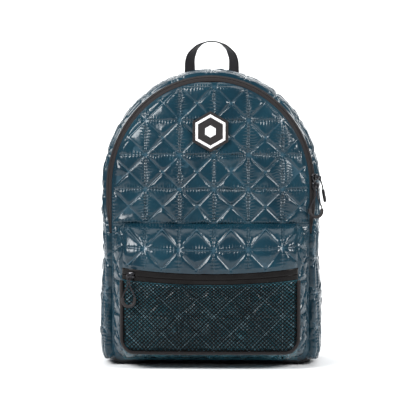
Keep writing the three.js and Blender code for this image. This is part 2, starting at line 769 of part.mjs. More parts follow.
function makeBinding() {
  const stops = [];
  const sideSteps = 5;
  const high = netTop - gap;
  const bend = netBottom + netCorner;
  const outerArc = netEdge(0);
  const innerArc = netEdge(bindingWidth);
  for (let i = 0; i < sideSteps; i++) {
    const even = lerp(high, bend, i / sideSteps);
    stops.push([[pocketFaceHalfWidth - gap, even], [netHalfWidth, even]]);
  }
  outerArc.reverse().forEach((p, i) => stops.push([p, innerArc[innerArc.length - 1 - i]]));
  const mirrored = stops.map(([a, b]) => [[-a[0], a[1]], [-b[0], b[1]]]).reverse();
  const footSteps = 4;
  const foot = [];
  const reach = pocketFaceHalfWidth - netCorner;
  for (let i = 1; i < footSteps * 2; i++) {
    const x = lerp(reach, -reach, i / (footSteps * 2));
    foot.push([[x, netBottom], [x, netBottom + bindingWidth]]);
  }
  const low = pocketPuff + netGap;
  const top = low + netThickness + bindingRise;
  const rings = [...stops, ...foot, ...mirrored].map(([a, b]) => {
    const middle = [(a[0] + b[0]) / 2, (a[1] + b[1]) / 2];
    return [
      raisedPocket(a[0], a[1], low * 0.45),
      raisedPocket(a[0], a[1], top * 0.7),
      raisedPocket(middle[0], middle[1], top),
      raisedPocket(b[0], b[1], top * 0.9),
      raisedPocket(b[0], b[1], low),
    ];
  });
  add("net_binding", loft(rings), zipTape);
}

// Badge: a hexagonal rubber plate with plain raised outlines, pressed onto the quilting
function hexagon(width) {
  const shape = new THREE.Shape();
  for (let i = 0; i < 6; i++) {
    const turn = (i + 0.5) * (Math.PI / 3);
    const reach = width / Math.sqrt(3);
    shape[i ? "lineTo" : "moveTo"](reach * Math.cos(turn), reach * Math.sin(turn));
  }
  shape.closePath();
  return shape;
}

function hexagonRing(width, line) {
  const shape = hexagon(width);
  shape.holes.push(hexagon(width - 2 * line));
  return shape;
}

function makeBadge() {
  const badge = new THREE.Group();
  const flat = (shape, depth) => new THREE.ExtrudeGeometry(shape, { depth, bevelEnabled: false });
  add("badge_plate", flat(hexagon(badgeWidth), badgeThickness), rubber, badge);
  const lineWidth = badgeWidth - 2 * badgeRimWidth;
  const parts = [
    ["badge_outer_line", hexagonRing(lineWidth, badgeLineWidth)],
    ["badge_heart", hexagon(badgeHeartWidth)],
  ];
  for (const [name, shape] of parts) {
    const raised = add(name, flat(shape, badgeLineRise), whiteRubber, badge);
    raised.position.z = badgeThickness + gap;
  }
  // The hexagon points up, so its drawn plane turns to stand along the cloth.
  const normal = raisedNormal(frontPanelAt, 0, badgeHeight);
  badge.rotation.x = Math.PI / 2 + Math.asin(-normal.z);
  const seat = frontPanelAt(0, badgeHeight).addScaledVector(normal, badgeSeat * 1.1 + gap);
  badge.position.copy(seat);
  bag.add(badge);
}

function raisedNormal(place, a, b) {
  return surfacePoint(place, a, b, 1, 1).sub(place(a, b));
}

// Handle: a webbing loop, flat on the back at its ends and standing on edge at the top.
// Degrees its width is turned from front-to-back, by height as a share of the loop.
const handleTwist = [
  { at: 0, degrees: 90 },
  { at: 0.36, degrees: 50 },
  { at: 0.46, degrees: 44 },
  { at: 0.72, degrees: 38 },
  { at: 0.9, degrees: 20 },
  { at: 1, degrees: 0 },
].map(({ at: where, degrees }) => ({ at: where, value: THREE.MathUtils.degToRad(degrees) }));

// Turns each stop's width square to the path, and works out which way its face looks.
function squareStops(stops) {
  return stops.map((stop, i) => {
    const before = stops[Math.max(i - 1, 0)].middle;
    const after = stops[Math.min(i + 1, stops.length - 1)].middle;
    const ahead = after.clone().sub(before).normalize();
    const side = stop.side.clone().addScaledVector(ahead, -stop.side.dot(ahead)).normalize();
    return { ...stop, side, out: ahead.clone().cross(side).normalize() };
  });
}

function makeHandle() {
  const turnHeight = handleTop - handleRadius;
  const path = [];
  const legSteps = 6;
  const bendSteps = 14;
  const leg = Array.from({ length: legSteps }, (_, i) => lerp(handleRoot, turnHeight, i / legSteps));
  leg.forEach((z) => path.push([handleRadius, z]));
  for (let i = 0; i <= bendSteps; i++) {
    const turn = (Math.PI * i) / bendSteps;
    path.push([handleRadius * Math.cos(turn), turnHeight + handleRadius * Math.sin(turn)]);
  }
  leg.reverse().forEach((z) => path.push([-handleRadius, z]));
  const rootY = backPanelAt(handleRadius, handleRoot).y + gap + handleThickness / 2;
  const stops = path.map(([x, z]) => {
    const share = (z - handleRoot) / (handleTop - handleRoot);
    const twist = readTable(handleTwist, share) * Math.sign(x);
    const side = at(Math.sin(twist), -Math.cos(twist), 0);
    const lean = smooth((share - 0.3) / 0.7);
    return { middle: at(x, lerp(rootY, rootY - handleLean, lean), z), side };
  });
  add("top_handle", band(squareStops(stops), handleWidth, handleThickness), webbing);
}

// A zip slider: a flat plate with a bridge over it. Drawn with x across, y along and z out.
function sliderGeometry() {
  const halfWidth = sliderWidth / 2;
  const nose = sliderLength / 2;
  const plateShape = new THREE.Shape();
  plateShape.moveTo(-halfWidth * 0.7, -nose);
  plateShape.lineTo(halfWidth * 0.7, -nose);
  plateShape.lineTo(halfWidth, nose * 0.5);
  plateShape.lineTo(halfWidth * 0.8, nose);
  plateShape.lineTo(-halfWidth * 0.8, nose);
  plateShape.lineTo(-halfWidth, nose * 0.5);
  plateShape.closePath();
  const plate = new THREE.ExtrudeGeometry(plateShape, { depth: sliderThickness, bevelEnabled: false });
  const foot = sliderLength * 0.4;
  const low = sliderThickness * 0.5;
  const high = sliderThickness + bridgeRise;
  const arch = new THREE.Shape();
  arch.moveTo(-foot, low);
  arch.lineTo(foot, low);
  arch.lineTo(foot, high - bridgeWire);
  arch.lineTo(foot - bridgeWire, high);
  arch.lineTo(-foot + bridgeWire, high);
  arch.lineTo(-foot, high - bridgeWire);
  arch.closePath();
  const inner = foot - bridgeWire;
  const eye = new THREE.Path();
  eye.moveTo(-inner, sliderThickness - low * 0.2);
  eye.lineTo(-inner, high - bridgeWire);
  eye.lineTo(inner, high - bridgeWire);
  eye.lineTo(inner, sliderThickness - low * 0.2);
  eye.closePath();
  arch.holes.push(eye);
  const bridge = new THREE.ExtrudeGeometry(arch, { depth: bridgeWire, bevelEnabled: false });
  bridge.translate(0, 0, -bridgeWire / 2);
  bridge.rotateX(Math.PI / 2);
  bridge.rotateZ(Math.PI / 2);
  return join(plate, bridge);
}

// Places a slider over a zip and returns its directions: across the zip, along it, and out from it.
function addSlider(name, foot, out, ahead) {
  const across = ahead.clone().cross(out).normalize();
  const along = out.clone().cross(across).normalize();
  const mesh = add(name, sliderGeometry(), sliderMetal);
  const origin = foot.clone().addScaledVector(out, zipRise + gap);
  mesh.applyMatrix4(new THREE.Matrix4().makeBasis(across, along, out).setPosition(origin));
  return { origin, across, along, out };
}

function tube(path, diameter, sides, steps) {
  const section = new THREE.Shape();
  for (let i = 0; i < sides; i++) {
    const turn = (i / sides) * 2 * Math.PI;
    const x = (diameter / 2) * Math.cos(turn);
    const y = (diameter / 2) * Math.sin(turn);
    section[i ? "lineTo" : "moveTo"](x, y);
  }
  section.closePath();
  return new THREE.ExtrudeGeometry(section, { steps, extrudePath: path, bevelEnabled: false });
}

// A pull: a cord that hangs doubled from the slider's bridge and ends in a moulded U grip.
// Half the cord's run, by distance down from the eye. Sideways is the distance of each strand.
const strandRun = [
  { down: 0.0, sideways: 0 },
  { down: 0.8, sideways: 2.1 },
  { down: 2.6, sideways: 2.8 },
  { down: 6.5, sideways: 2.4 },
  { down: 11, sideways: 1.3 },
  { down: 15, sideways: 1.3 },
  { down: 21, sideways: 3.4 },
  { down: 28, sideways: 6.8 },
  { down: pullDrop - gap, sideways: gripSpan / 2 },
];

// The pull follows a run of points from the eye. Its strands lie apart along "first" at the eye
// and along "last" at the grip.
function makePull(name, { run, first, last }) {
  const guide = new THREE.CatmullRomCurve3(run);
  const length = guide.getLength();
  const point = (sideways, low) => {
    const share = Math.min(low / length, 1);
    const ahead = guide.getTangentAt(share);
    const aside = first.clone().lerp(last, smooth(low / 15));
    aside.addScaledVector(ahead, -aside.dot(ahead)).normalize();
    const middle = guide.getPointAt(share).addScaledVector(ahead, low - share * length);
    return middle.addScaledVector(aside, sideways);
  };
  const rightStrand = strandRun.map((row) => point(row.sideways, row.down));
  const leftStrand = strandRun.slice(1).map((row) => point(-row.sideways, row.down));
  const cordPath = new THREE.CatmullRomCurve3([...leftStrand.reverse(), ...rightStrand], false, "centripetal");
  add(name + "_cord", tube(cordPath, cordDiameter, 6, 22), webbing);
  const half = gripSpan / 2;
  const bendSteps = 6;
  const gripPoints = [point(-half, pullDrop), point(-half, pullDrop + gripArm * 0.5)];
  for (let i = 0; i <= bendSteps; i++) {
    const turn = Math.PI * (i / bendSteps);
    gripPoints.push(point(-half * Math.cos(turn), pullDrop + gripArm + half * Math.sin(turn)));
  }
  gripPoints.push(point(half, pullDrop + gripArm * 0.5), point(half, pullDrop));
  add(name + "_grip", tube(new THREE.CatmullRomCurve3(gripPoints), gripDiameter, 8, 16), rubber);
}

function makeSliders() {
  const eyeRise = sliderThickness + (bridgeRise - bridgeWire) / 2;
  const placeMain = (name, height) => {
    const along = alongAtHeight(height);
    const middle = gap / 2 + zipWidthAt(along) / 2;
    const foot = surfacePoint(wallAt, along, middle, 0, -1);
    const out = surfacePoint(wallAt, along, middle, 1, -1).sub(foot);
    const ahead = wallAt(along + 1, middle).sub(wallAt(along - 1, middle)).normalize();
    return addSlider(name, foot, out, ahead);
  };
  const hang = (eye, ...moves) => [eye, ...moves.map(([x, y, z]) => eye.clone().add(at(x, y, z)))];
  const lower = placeMain("main_slider_lower", mainSliderHeight);
  const lowerEye = lower.origin.clone().addScaledVector(lower.out, eyeRise);
  makePull("front_pull", {
    run: hang(lowerEye, [0, -3, -12], [-1, -13, -46]),
    first: lower.across,
    last: at(1, 0, 0),
  });
  const upper = placeMain("main_slider_upper", mainSliderHeight + sliderLength + gap * 2);
  const wireRise = sliderThickness + bridgeRise - bridgeWire / 2;
  const hook = (bridgeWire + cordDiameter) / 2 + gap * 1.5;
  const upperWire = upper.origin.clone().addScaledVector(upper.out, wireRise);
  const upperEye = upperWire.addScaledVector(upper.across, -hook);
  makePull("side_pull", {
    run: [
      upperEye,
      upperEye.clone().addScaledVector(upper.across, 6).add(at(0, 0, -0.6)),
      upperEye.clone().addScaledVector(upper.across, 10).add(at(1.6, 3, -10)),
      upperEye.clone().addScaledVector(upper.across, 10).add(at(7, 17, -38)),
    ],
    first: upper.out,
    last: at(0, 1, 0),
  });
  const even = pocketZipTop - pocketZipWidth / 2;
  const sliderX = pocketSliderInset - pocketFaceHalfWidth;
  const foot = raisedPocket(sliderX, even, 0);
  const out = raisedPocket(sliderX, even, 1).sub(foot);
  const pocket = addSlider("pocket_slider", foot, out, at(1, 0, 0));
  const pocketWire = pocket.origin.clone().addScaledVector(out, wireRise);
  makePull("pocket_pull", {
    run: hang(pocketWire.add(at(0, 0, hook)), [0, 0, -12], [0, -1.5, -46]),
    first: out.clone().negate(),
    last: at(1, 0, 0),
  });
}

// Shoulder straps: a padded upper part, a buckle, and webbing down to the bottom corner
const sewnPad = (x, z) =>
  surfacePoint(backPanelAt, x, z, yokeThickness + 2 * gap + padThickness / 2, -1);
// The strap's free run, as shares of its sideways reach, its bow and its height
const strapRun = [
  { aside: 0.067, bow: 0.5, up: 0.83 },
  { aside: 0.178, bow: 0.82, up: 0.694 },
  { aside: 0.311, bow: 1, up: 0.517 },
  { aside: 0.556, bow: 0.96, up: 0.322 },
  { aside: 0.8, bow: 0.76, up: 0.145 },
  { aside: 1, bow: 0.52, up: 0 },
];
const strapPoint = ({ aside, bow, up }) => ({
  x: lerp(strapTopX, strapLowX, aside),
  y: backEdgeDepth + strapBow * bow,
  z: lerp(strapLowHeight, yokeTop, up),
});
const padPath = [
  sewnPad(strapTopX, yokeTop - 5),
  sewnPad(strapTopX + 0.6, yokeTop - 20),
  ...strapRun.map(strapPoint),
];
const anchorOuter = seamHalfWidth - anchorInset;
const anchorCorners = [
  [anchorOuter - 33, 16],
  [anchorOuter, 22],
  [anchorOuter, 58],
  [anchorOuter - 21, 58],
];
const anchorStitches = [
  [anchorOuter - 16, 58],
  [anchorOuter - 14.5, 47],
  [anchorOuter - 12.5, 36.5],
  [anchorOuter - 11, 26],
];

function makeYoke() {
  const top = yokeTop;
  const low = yokeTop - yokeHeight;
  const topHalfWidth = yokeHalfWidth - yokeTaper;
  const outline = [
    [-yokeHalfWidth, low],
    [yokeHalfWidth, low],
    [topHalfWidth, top],
    [-topHalfWidth, top],
  ];
  const tiles = quiltTiles(outline, quiltPitch, quiltPitch, quiltPitch / 2, low, false);
  const patch = { place: backPanelAt, facing: -1, thickness: -gap, base: gap + yokeThickness };
  add("yoke", shell({ tiles, ...patch }), backCloth);
}

function makeStrap(suffix, mirror) {
  const flip = (p) => at(p.x * mirror, p.y, p.z);
  const path = new THREE.CatmullRomCurve3(padPath.map(flip));
  const padSteps = 12;
  const padStops = [];
  for (let i = 0; i <= padSteps; i++) {
    const share = i / padSteps;
    const ends = Math.min(share, 1 - share) * padSteps;
    const scale = lerp(1, padEndWidth / padWidth, smooth(share)) * (ends < 1 ? 0.88 : 1);
    padStops.push({ middle: path.getPointAt(share), side: at(1, 0, 0), scale });
  }
  const pad = squareStops(padStops);
  pad.forEach((stop) => {
    if (stop.out.y < 0) {
      stop.out.negate();
      stop.side.negate();
    }
  });
  add("strap_pad_" + suffix, band(pad, padWidth, padThickness), backCloth);

  const end = pad[pad.length - 1];
  const down = path.getTangentAt(1).normalize();
  const side = end.side;
  const out = end.out;
  const local = (origin, low, outward) =>
    origin.clone().addScaledVector(down, low).addScaledVector(out, outward);
  const lockMiddle = local(end.middle, tabLength + lockHeight / 2, 0);
  const barStep = (lockHeight - lockBar) / 2;
  const wrap = lockBar * Math.SQRT1_2 + gap + webbingThickness / 2;

  // The tab holds the buckle's top bar.
  const tab = [];
  const topBar = local(lockMiddle, -barStep, 0);
  const reach = tabLength + lockBar / 2 - gap;
  tab.push({ middle: local(topBar, -reach, -wrap), side });
  tab.push({ middle: local(topBar, 0, -wrap), side });
  for (let i = 1; i < 6; i++) {
    const turn = (Math.PI * i) / 6;
    tab.push({ middle: local(topBar, wrap * Math.sin(turn), -wrap * Math.cos(turn)), side });
  }
  tab.push({ middle: local(topBar, 0, wrap), side });
  tab.push({ middle: local(topBar, -reach, wrap), side });
  add("strap_tab_" + suffix, band(squareStops(tab), webbingWidth, webbingThickness), webbing);

  const bars = [-barStep, 0, barStep].map((low) => {
    const bar = new THREE.BoxGeometry(lockWidth - lockBar, lockBar, lockBar);
    return bar.translate(0, low, 0);
  });
  const rails = [-1, 1].map((hand) => {
    const rail = new THREE.BoxGeometry(lockBar, lockHeight, lockBar + 1);
    return rail.translate((hand * (lockWidth - lockBar)) / 2, 0, 0);
  });
  const lock = add("strap_buckle_" + suffix, join(bars[0], bars[1], bars[2], ...rails), hardPlastic);
  const across = down.clone().cross(out);
  lock.applyMatrix4(new THREE.Matrix4().makeBasis(across, down, out).setPosition(lockMiddle));

  // The webbing comes up behind the buckle, over its middle bar, and hangs down in front.
  const lower = [];
  const tailSag = at(0, 0.04, -1).normalize();
  const tailTop = local(lockMiddle, lockHeight * 0.6, wrap);
  for (const share of [1, 0.6, 0.25, 0.08, 0]) {
    const straight = local(tailTop, webbingTail * share, 0);
    const hanging = tailTop.clone().addScaledVector(tailSag, webbingTail * share);
    lower.push({ middle: straight.lerp(hanging, smooth(share * 3)), side });
  }
  lower.push({ middle: local(lockMiddle, 0, wrap), side });
  for (let i = 1; i < 6; i++) {
    const turn = (Math.PI * i) / 6;
    lower.push({ middle: local(lockMiddle, -wrap * Math.sin(turn), wrap * Math.cos(turn)), side });
  }
  lower.push({ middle: local(lockMiddle, 0, -wrap), side });
  lower.push({ middle: local(lockMiddle, lockHeight * 0.7, -wrap), side });
  const patchTop = anchorThickness + 2 * gap + webbingThickness / 2;
  const halfWebbing = webbingWidth / 2;
  const stitches = anchorStitches.map(([x, z]) => {
    const inner = surfacePoint(backPanelAt, x - halfWebbing, z, patchTop, -1);
    const outer = surfacePoint(backPanelAt, x + halfWebbing, z, patchTop, -1);
    const middle = surfacePoint(backPanelAt, x, z, patchTop, -1);
    const raise = Math.max(0, (inner.y + outer.y) / 2 - middle.y);
    return { middle: flip(middle.add(at(0, raise, 0))), side: flip(outer.sub(inner).normalize()) };
  });
  const leaving = lower[lower.length - 1].middle;
  const bend = leaving.clone().lerp(stitches[0].middle, 0.6).add(at(0, 1, 0));
  lower.push({ middle: bend, side: at(1, 0, 0) }, ...stitches);
  lower.forEach((stop) => (stop.side = stop.side.x * side.x < 0 ? stop.side.clone().negate() : stop.side));
  add("strap_webbing_" + suffix, band(squareStops(lower), webbingWidth, webbingThickness), webbing);

  const corners = anchorCorners.map(([x, z]) => [x * mirror, z]);
  const outline = mirror > 0 ? corners : corners.reverse();
  const patch = { place: backPanelAt, facing: -1, thickness: -gap, base: gap + anchorThickness };
  const tiles = quiltTiles(outline, anchorTile, anchorTile, 0, 0, false);
  add("strap_anchor_" + suffix, shell({ tiles, ...patch }), backCloth);
}

makeFrontPanel();
makeSideWall();
makeBase();
makeBackPanel();
makeMainZip();
makePocket();
makePocketZip();
makeNet();
makeBinding();
makeBadge();
makeHandle();
makeSliders();
makeYoke();
makeStrap("right", 1);
makeStrap("left", -1);

export default bag;
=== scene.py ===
import math

import bpy
import numpy as np
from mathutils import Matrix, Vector


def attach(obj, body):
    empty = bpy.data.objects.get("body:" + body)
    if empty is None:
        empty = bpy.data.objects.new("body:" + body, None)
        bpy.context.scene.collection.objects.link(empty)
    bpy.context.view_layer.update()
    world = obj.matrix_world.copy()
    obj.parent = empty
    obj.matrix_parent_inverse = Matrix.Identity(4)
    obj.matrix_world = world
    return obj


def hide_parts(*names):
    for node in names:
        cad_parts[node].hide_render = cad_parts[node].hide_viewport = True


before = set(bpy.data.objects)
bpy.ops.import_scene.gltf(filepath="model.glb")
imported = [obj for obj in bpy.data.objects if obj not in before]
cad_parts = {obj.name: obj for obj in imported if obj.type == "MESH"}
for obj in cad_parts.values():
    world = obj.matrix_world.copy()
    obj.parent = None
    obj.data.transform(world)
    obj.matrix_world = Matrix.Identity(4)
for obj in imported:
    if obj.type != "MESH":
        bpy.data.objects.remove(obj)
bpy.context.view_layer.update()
chance = np.random.default_rng(41)
print("frame loaded:", len(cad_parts), "nodes")

# Everything below is drawn in millimetres and turned to metres when its mesh is made.
# The front faces -Y, +Z is up, and the floor is at z = 0.

# Shape of the whole bag, the same sizes as its solids have
bag = {
    "seamHalfWidth": 148,
    "seamTop": 409,
    "archStart": 250,
    "cornerRadius": 24,
    "frontEdgeDepth": 62,
    "frontLean": 16,
    "leanStart": 150,
    "backEdgeDepth": 54,
    "frontRoll": 9,
    "backRoll": 6,
    "wallRoundness": 7,
    "edgeRollHeight": 6,
    "edgeRollLength": 9,
    "frontDome": 12,
    "domeReach": 138,
    "backDome": 3,
    "quiltPitch": 48,
    "quiltOffset": 5,
    "wallRows": 2.5,
    "gap": 0.3,
    "turnIn": 2.4,
}
wallSwell = [  # height as a share of the seam's top, swell of the side wall past the seam
    (0.0, 1.8),
    (0.06, 1.8),
    (0.22, 3.5),
    (0.39, 0.5),
    (0.56, 2.5),
    (0.8, 2.0),
    (1.0, 2.0),
]
mainZip = {"width": 14, "rise": 0.8, "endHeight": 187, "taper": 45, "endShare": 0.35, "endStep": 1.5}
pocket = {
    "halfWidth": 135,
    "faceHalfWidth": 122,
    "top": 202,
    "bottom": 12,
    "depth": 33,
    "dome": 4,
    "corner": 20,
    "squareness": 14,
    "shoulder": 44,
    "toe": 22,
    "clearance": 3.6,
    "sag": 7,
    "zipTop": 143,
    "zipWidth": 17,
    "rimShare": 0.63,  # share of a quilt square between the rim and the first seam under it
    "overlap": 1.5,
}
pocketRow = pocket["top"] - pocket["rimShare"] * bag["quiltPitch"]  # the topmost seam across the pocket


def ease(x):
    x = np.clip(x, 0, 1)
    return x * x * (3 - 2 * x)


def mix(a, b, share):
    return a + (b - a) * share


# How far along a path each of its points lies
def lengthsAlong(points):
    return np.concatenate([[0], np.cumsum(np.linalg.norm(np.diff(points, axis=0), axis=1))])


def readTable(rows, where):
    places = np.array([row[0] for row in rows], float)
    values = np.array([row[1] for row in rows], float)
    where = np.clip(where, places[0], places[-1])
    after = np.clip(np.searchsorted(places, where), 1, len(rows) - 1)
    share = (where - places[after - 1]) / (places[after] - places[after - 1])
    return mix(values[after - 1], values[after], ease(share))


def halfOutline():
    w, r = bag["seamHalfWidth"], bag["cornerRadius"]
    rise = bag["seamTop"] - bag["archStart"]
    bottom = np.linspace(0, w - r, 100, endpoint=False)
    rows = [np.stack([bottom, 0 * bottom, 0 * bottom, 0 * bottom - 1], 1)]
    turn = np.linspace(0, math.pi / 2, 60, endpoint=False)
    s, c = np.sin(turn), np.cos(turn)
    rows.append(np.stack([w - r + r * s, r * (1 - c), s, -c], 1))
    side = np.linspace(r, bag["archStart"], 200, endpoint=False)
    rows.append(np.stack([0 * side + w, side, 0 * side + 1, 0 * side], 1))
    turn = np.linspace(0, math.pi / 2, 900)
    s, c = np.sin(turn), np.cos(turn)
    size = np.hypot(c / w, s / rise)
    rows.append(np.stack([w * c, bag["archStart"] + rise * s, c / w / size, s / rise / size], 1))
    points = np.concatenate(rows)
    return lengthsAlong(points[:, :2]), points


halfAlong, halfPoints = halfOutline()
halfRun = halfAlong[-1]
bottomRun = bag["seamHalfWidth"] - bag["cornerRadius"]
cornerRun = bag["cornerRadius"] * math.pi / 2


# The outline by length along it: from the middle of the bottom, up the right side and over.
def outlineAt(along):
    wrapped = np.mod(along, 2 * halfRun)
    hand = np.where(wrapped > halfRun, -1.0, 1.0)
    near = np.where(wrapped > halfRun, 2 * halfRun - wrapped, wrapped)
    x, z, nx, nz = (np.interp(near, halfAlong, halfPoints[:, i]) for i in range(4))
    return x * hand, z, nx * hand, nz


def alongAtHeight(height):
    return bottomRun + cornerRun + height - bag["cornerRadius"]


def frontEdgeY(z):
    lean = ease((z - bag["leanStart"]) / (bag["seamTop"] - bag["leanStart"]))
    return -bag["frontEdgeDepth"] + bag["frontLean"] * lean


def wallAtShare(along, share):
    x, z, nx, nz = outlineAt(along)
    swell = readTable(wallSwell, z / bag["seamTop"])
    fullness = 1 - np.abs(2 * share - 1) ** bag["wallRoundness"]
    rolls = (bag["frontRoll"] + bag["backRoll"]) / 2
    out = mix(-bag["frontRoll"], -bag["backRoll"], share) + (swell + rolls) * fullness
    y = mix(frontEdgeY(z), bag["backEdgeDepth"], share)
    return np.stack([x + out * nx, y, np.maximum(0, z + out * nz)], -1)


# Points of the side wall or base, by length along the outline and over the cloth from the front.
def wallAt(along, across):
    shares = np.linspace(0, 1, 49)
    section = wallAtShare(along[:, None], shares[None, :])
    steps = np.linalg.norm(np.diff(section, axis=1), axis=2)
    lengths = np.concatenate([np.zeros((len(along), 1)), np.cumsum(steps, 1)], 1)
    wanted = across(lengths[:, -1])
    share = np.stack([np.interp(w, row, shares) for w, row in zip(wanted, lengths)])
    return wallAtShare(along[:, None], share), wanted


def zipWidthAt(along):
    inside = np.minimum(along, 2 * halfRun - along) - alongAtHeight(mainZip["endHeight"])
    width = mainZip["width"] * mix(mainZip["endShare"], 1, ease(inside / mainZip["taper"]))
    closing = mainZip["width"] * mainZip["endShare"] * (1 + inside / mainZip["endStep"])
    return np.where(inside > 0, width, np.maximum(0, closing))


# Depth of a panel over the whole outline, kept as a table of points 2 mm apart
def panelTable(roll, dome):
    x, z = np.meshgrid(np.arange(-164, 165, 2.0), np.arange(-16, 425, 2.0), indexing="ij")
    ox, oz, nx, nz = outlineAt(np.linspace(0, 2 * halfRun, 900, endpoint=False))
    inset = np.empty(x.size)
    for start in range(0, x.size, 4000):
        dx = x.ravel()[start : start + 4000, None] - ox + roll * nx
        dz = z.ravel()[start : start + 4000, None] - oz + roll * nz
        nearest = np.argmin(dx * dx + dz * dz, 1)
        pick = np.arange(len(nearest))
        inset[start : start + 4000] = -(dx[pick, nearest] * nx[nearest] + dz[pick, nearest] * nz[nearest])
    height, length, reach = bag["edgeRollHeight"], bag["edgeRollLength"], bag["domeReach"]
    inside = height * (1 - np.exp(-np.maximum(inset, 0) / length))
    inside += dome * (1 - (1 - np.clip(inset / reach, 0, 1)) ** 2)
    crown = np.where(inset < 0, inset * (height / length + 2 * dome / reach), inside)
    return crown.reshape(x.shape), inset.reshape(x.shape)


def readGrid(table, x, z):
    a = np.clip((x + 164) / 2, 0, table.shape[0] - 1.001)
    b = np.clip((z + 16) / 2, 0, table.shape[1] - 1.001)
    i, j = a.astype(int), b.astype(int)
    a, b = a - i, b - j
    low = mix(table[i, j], table[i + 1, j], a)
    return mix(low, mix(table[i, j + 1], table[i + 1, j + 1], a), b)


frontCrown, frontInset = panelTable(bag["frontRoll"], bag["frontDome"])
backCrown, backInset = panelTable(bag["backRoll"], bag["backDome"])


def frontPanelAt(x, z):
    return np.stack([x, frontEdgeY(z) - readGrid(frontCrown, x, z), z], -1)


def backPanelAt(x, z):
    return np.stack([x, bag["backEdgeDepth"] + readGrid(backCrown, x, z), z], -1)


def pocketAt(x, even):
    middle = (pocket["top"] + pocket["bottom"]) / 2
    over = np.clip(np.abs(x) - (pocket["halfWidth"] - pocket["corner"]), 0, pocket["corner"])
    drop = pocket["corner"] - np.sqrt(pocket["corner"] ** 2 - over**2)
    up = ease((even - middle) / (pocket["top"] - middle))
    down = ease((middle - even) / (middle - pocket["bottom"]))
    nearZip = ease(1 - np.abs(even - pocket["zipTop"]) / (pocket["top"] - pocket["zipTop"]))
    sag = pocket["sag"] * ((x / pocket["faceHalfWidth"]) ** 2 - 1) * nearZip
    z = even + sag + drop * (down - up)
    across = 1 - np.abs(x / pocket["halfWidth"]) ** pocket["squareness"]
    shoulder = 1 - np.maximum(0, 1 - (pocket["top"] - even) / pocket["shoulder"]) ** 2
    toe = np.maximum(0, 1 - np.maximum(0, 1 - (even - pocket["bottom"]) / pocket["toe"]) ** 2)
    dome = pocket["dome"] * (1 - (x / pocket["halfWidth"]) ** 2)
    out = pocket["clearance"] + (pocket["depth"] + dome) * across * shoulder * toe
    point = frontPanelAt(x, z)
    point[..., 1] -= out
    return point


def unit(v):
    return v / np.maximum(np.linalg.norm(v, axis=-1, keepdims=True), 1e-9)


# Outward directions of a surface given by two coordinates
def normalsAt(place, a, b, facing):
    along = place(a + 0.5, b) - place(a - 0.5, b)
    across = place(a, b + 0.5) - place(a, b - 0.5)
    return unit(np.cross(along, across)) * facing


def gridNormals(points, facing):
    return unit(np.cross(np.gradient(points, axis=0), np.gradient(points, axis=1))) * facing


def linear(text):
    parts = [int(text[i : i + 2], 16) / 255 for i in (0, 2, 4)]
    return [c / 12.92 if c <= 0.04045 else ((c + 0.055) / 1.055) ** 2.4 for c in parts] + [1.0]


def addNode(material, kind, inputs=None, **settings):
    node = material.node_tree.nodes.new(kind)
    for name, value in settings.items():
        setattr(node, name, value)
    for name, value in (inputs or {}).items():
        if isinstance(value, bpy.types.NodeSocket):
            material.node_tree.links.new(value, node.inputs[name])
        else:
            node.inputs[name].default_value = value
    return node


def newMaterial(name, **values):
    material = bpy.data.materials.new(name)
    material.use_nodes = True
    shader = material.node_tree.nodes["Principled BSDF"]
    for key, value in values.items():
        shader.inputs[key].default_value = value
    return material, shader


def wire(material, shader, socket, source):
    material.node_tree.links.new(source, shader.inputs[socket])


# A texture that repeats every so many millimetres, in object space or along the cloth's own UV
def coordinates(material, size, useUv=False):
    source = addNode(material, "ShaderNodeTexCoord").outputs["UV" if useUv else "Object"]
    sizes = size if isinstance(size, (tuple, list)) else (size, size, size)
    scale = [1000 / s for s in sizes]
    return addNode(material, "ShaderNodeMapping", {"Vector": source, "Scale": scale}).outputs[0]


def makeMesh(name, points, faces, material, uv=None, smooth=True):
    mesh = bpy.data.meshes.new(name)
    mesh.from_pydata((np.asarray(points, float) / 1000).tolist(), [], [list(map(int, f)) for f in faces])
    mesh.polygons.foreach_set("use_smooth", [smooth] * len(mesh.polygons))
    if uv is not None:
        layer = mesh.uv_layers.new(name="cloth")
        corner = np.empty(len(mesh.loops), np.int32)
        mesh.loops.foreach_get("vertex_index", corner)
        layer.data.foreach_set("uv", (np.asarray(uv, float)[corner] / 1000).ravel())
    mesh.update()
    piece = bpy.data.objects.new(name, mesh)
    bpy.context.collection.objects.link(piece)
    piece.data.materials.append(material)
    return piece


def finishPiece(piece, slotName, *replaced):
    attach(piece, "root")
    if replaced:
        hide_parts(*replaced)


# past this height the cloth is clear of the painted seam highlight
fullLift = 1.4  # cloth this far above its stitches takes its full colour


def cellCorners(index):
    return np.stack([index[:-1, :-1], index[1:, :-1], index[1:, 1:], index[:-1, 1:]], -1).reshape(-1, 4)


# A sheet from a grid of points. Keep says which points are cloth and which lie outside it.
def sheetMesh(name, points, material, facing, keep=None, lift=None):
    rows, columns = points.shape[:2]
    faces = cellCorners(np.arange(rows * columns).reshape(rows, columns))
    if facing < 0:
        faces = faces[:, ::-1]
    if keep is not None:
        flat = keep.ravel()
        faces = faces[flat[faces].all(1)]
    used = np.unique(faces)
    renumber = np.zeros(rows * columns, int)
    renumber[used] = np.arange(len(used))
    piece = makeMesh(name, points.reshape(-1, 3)[used], renumber[faces], material)
    if lift is not None:
        # height over the stitches as a share of a full puff, which sets where the painted seam highlight
        # shows
        layer = piece.data.attributes.new("lift", "FLOAT", "POINT")
        layer.data.foreach_set("value", np.clip(lift.ravel()[used] / fullLift, 0, 1).astype(np.float32))
    return piece


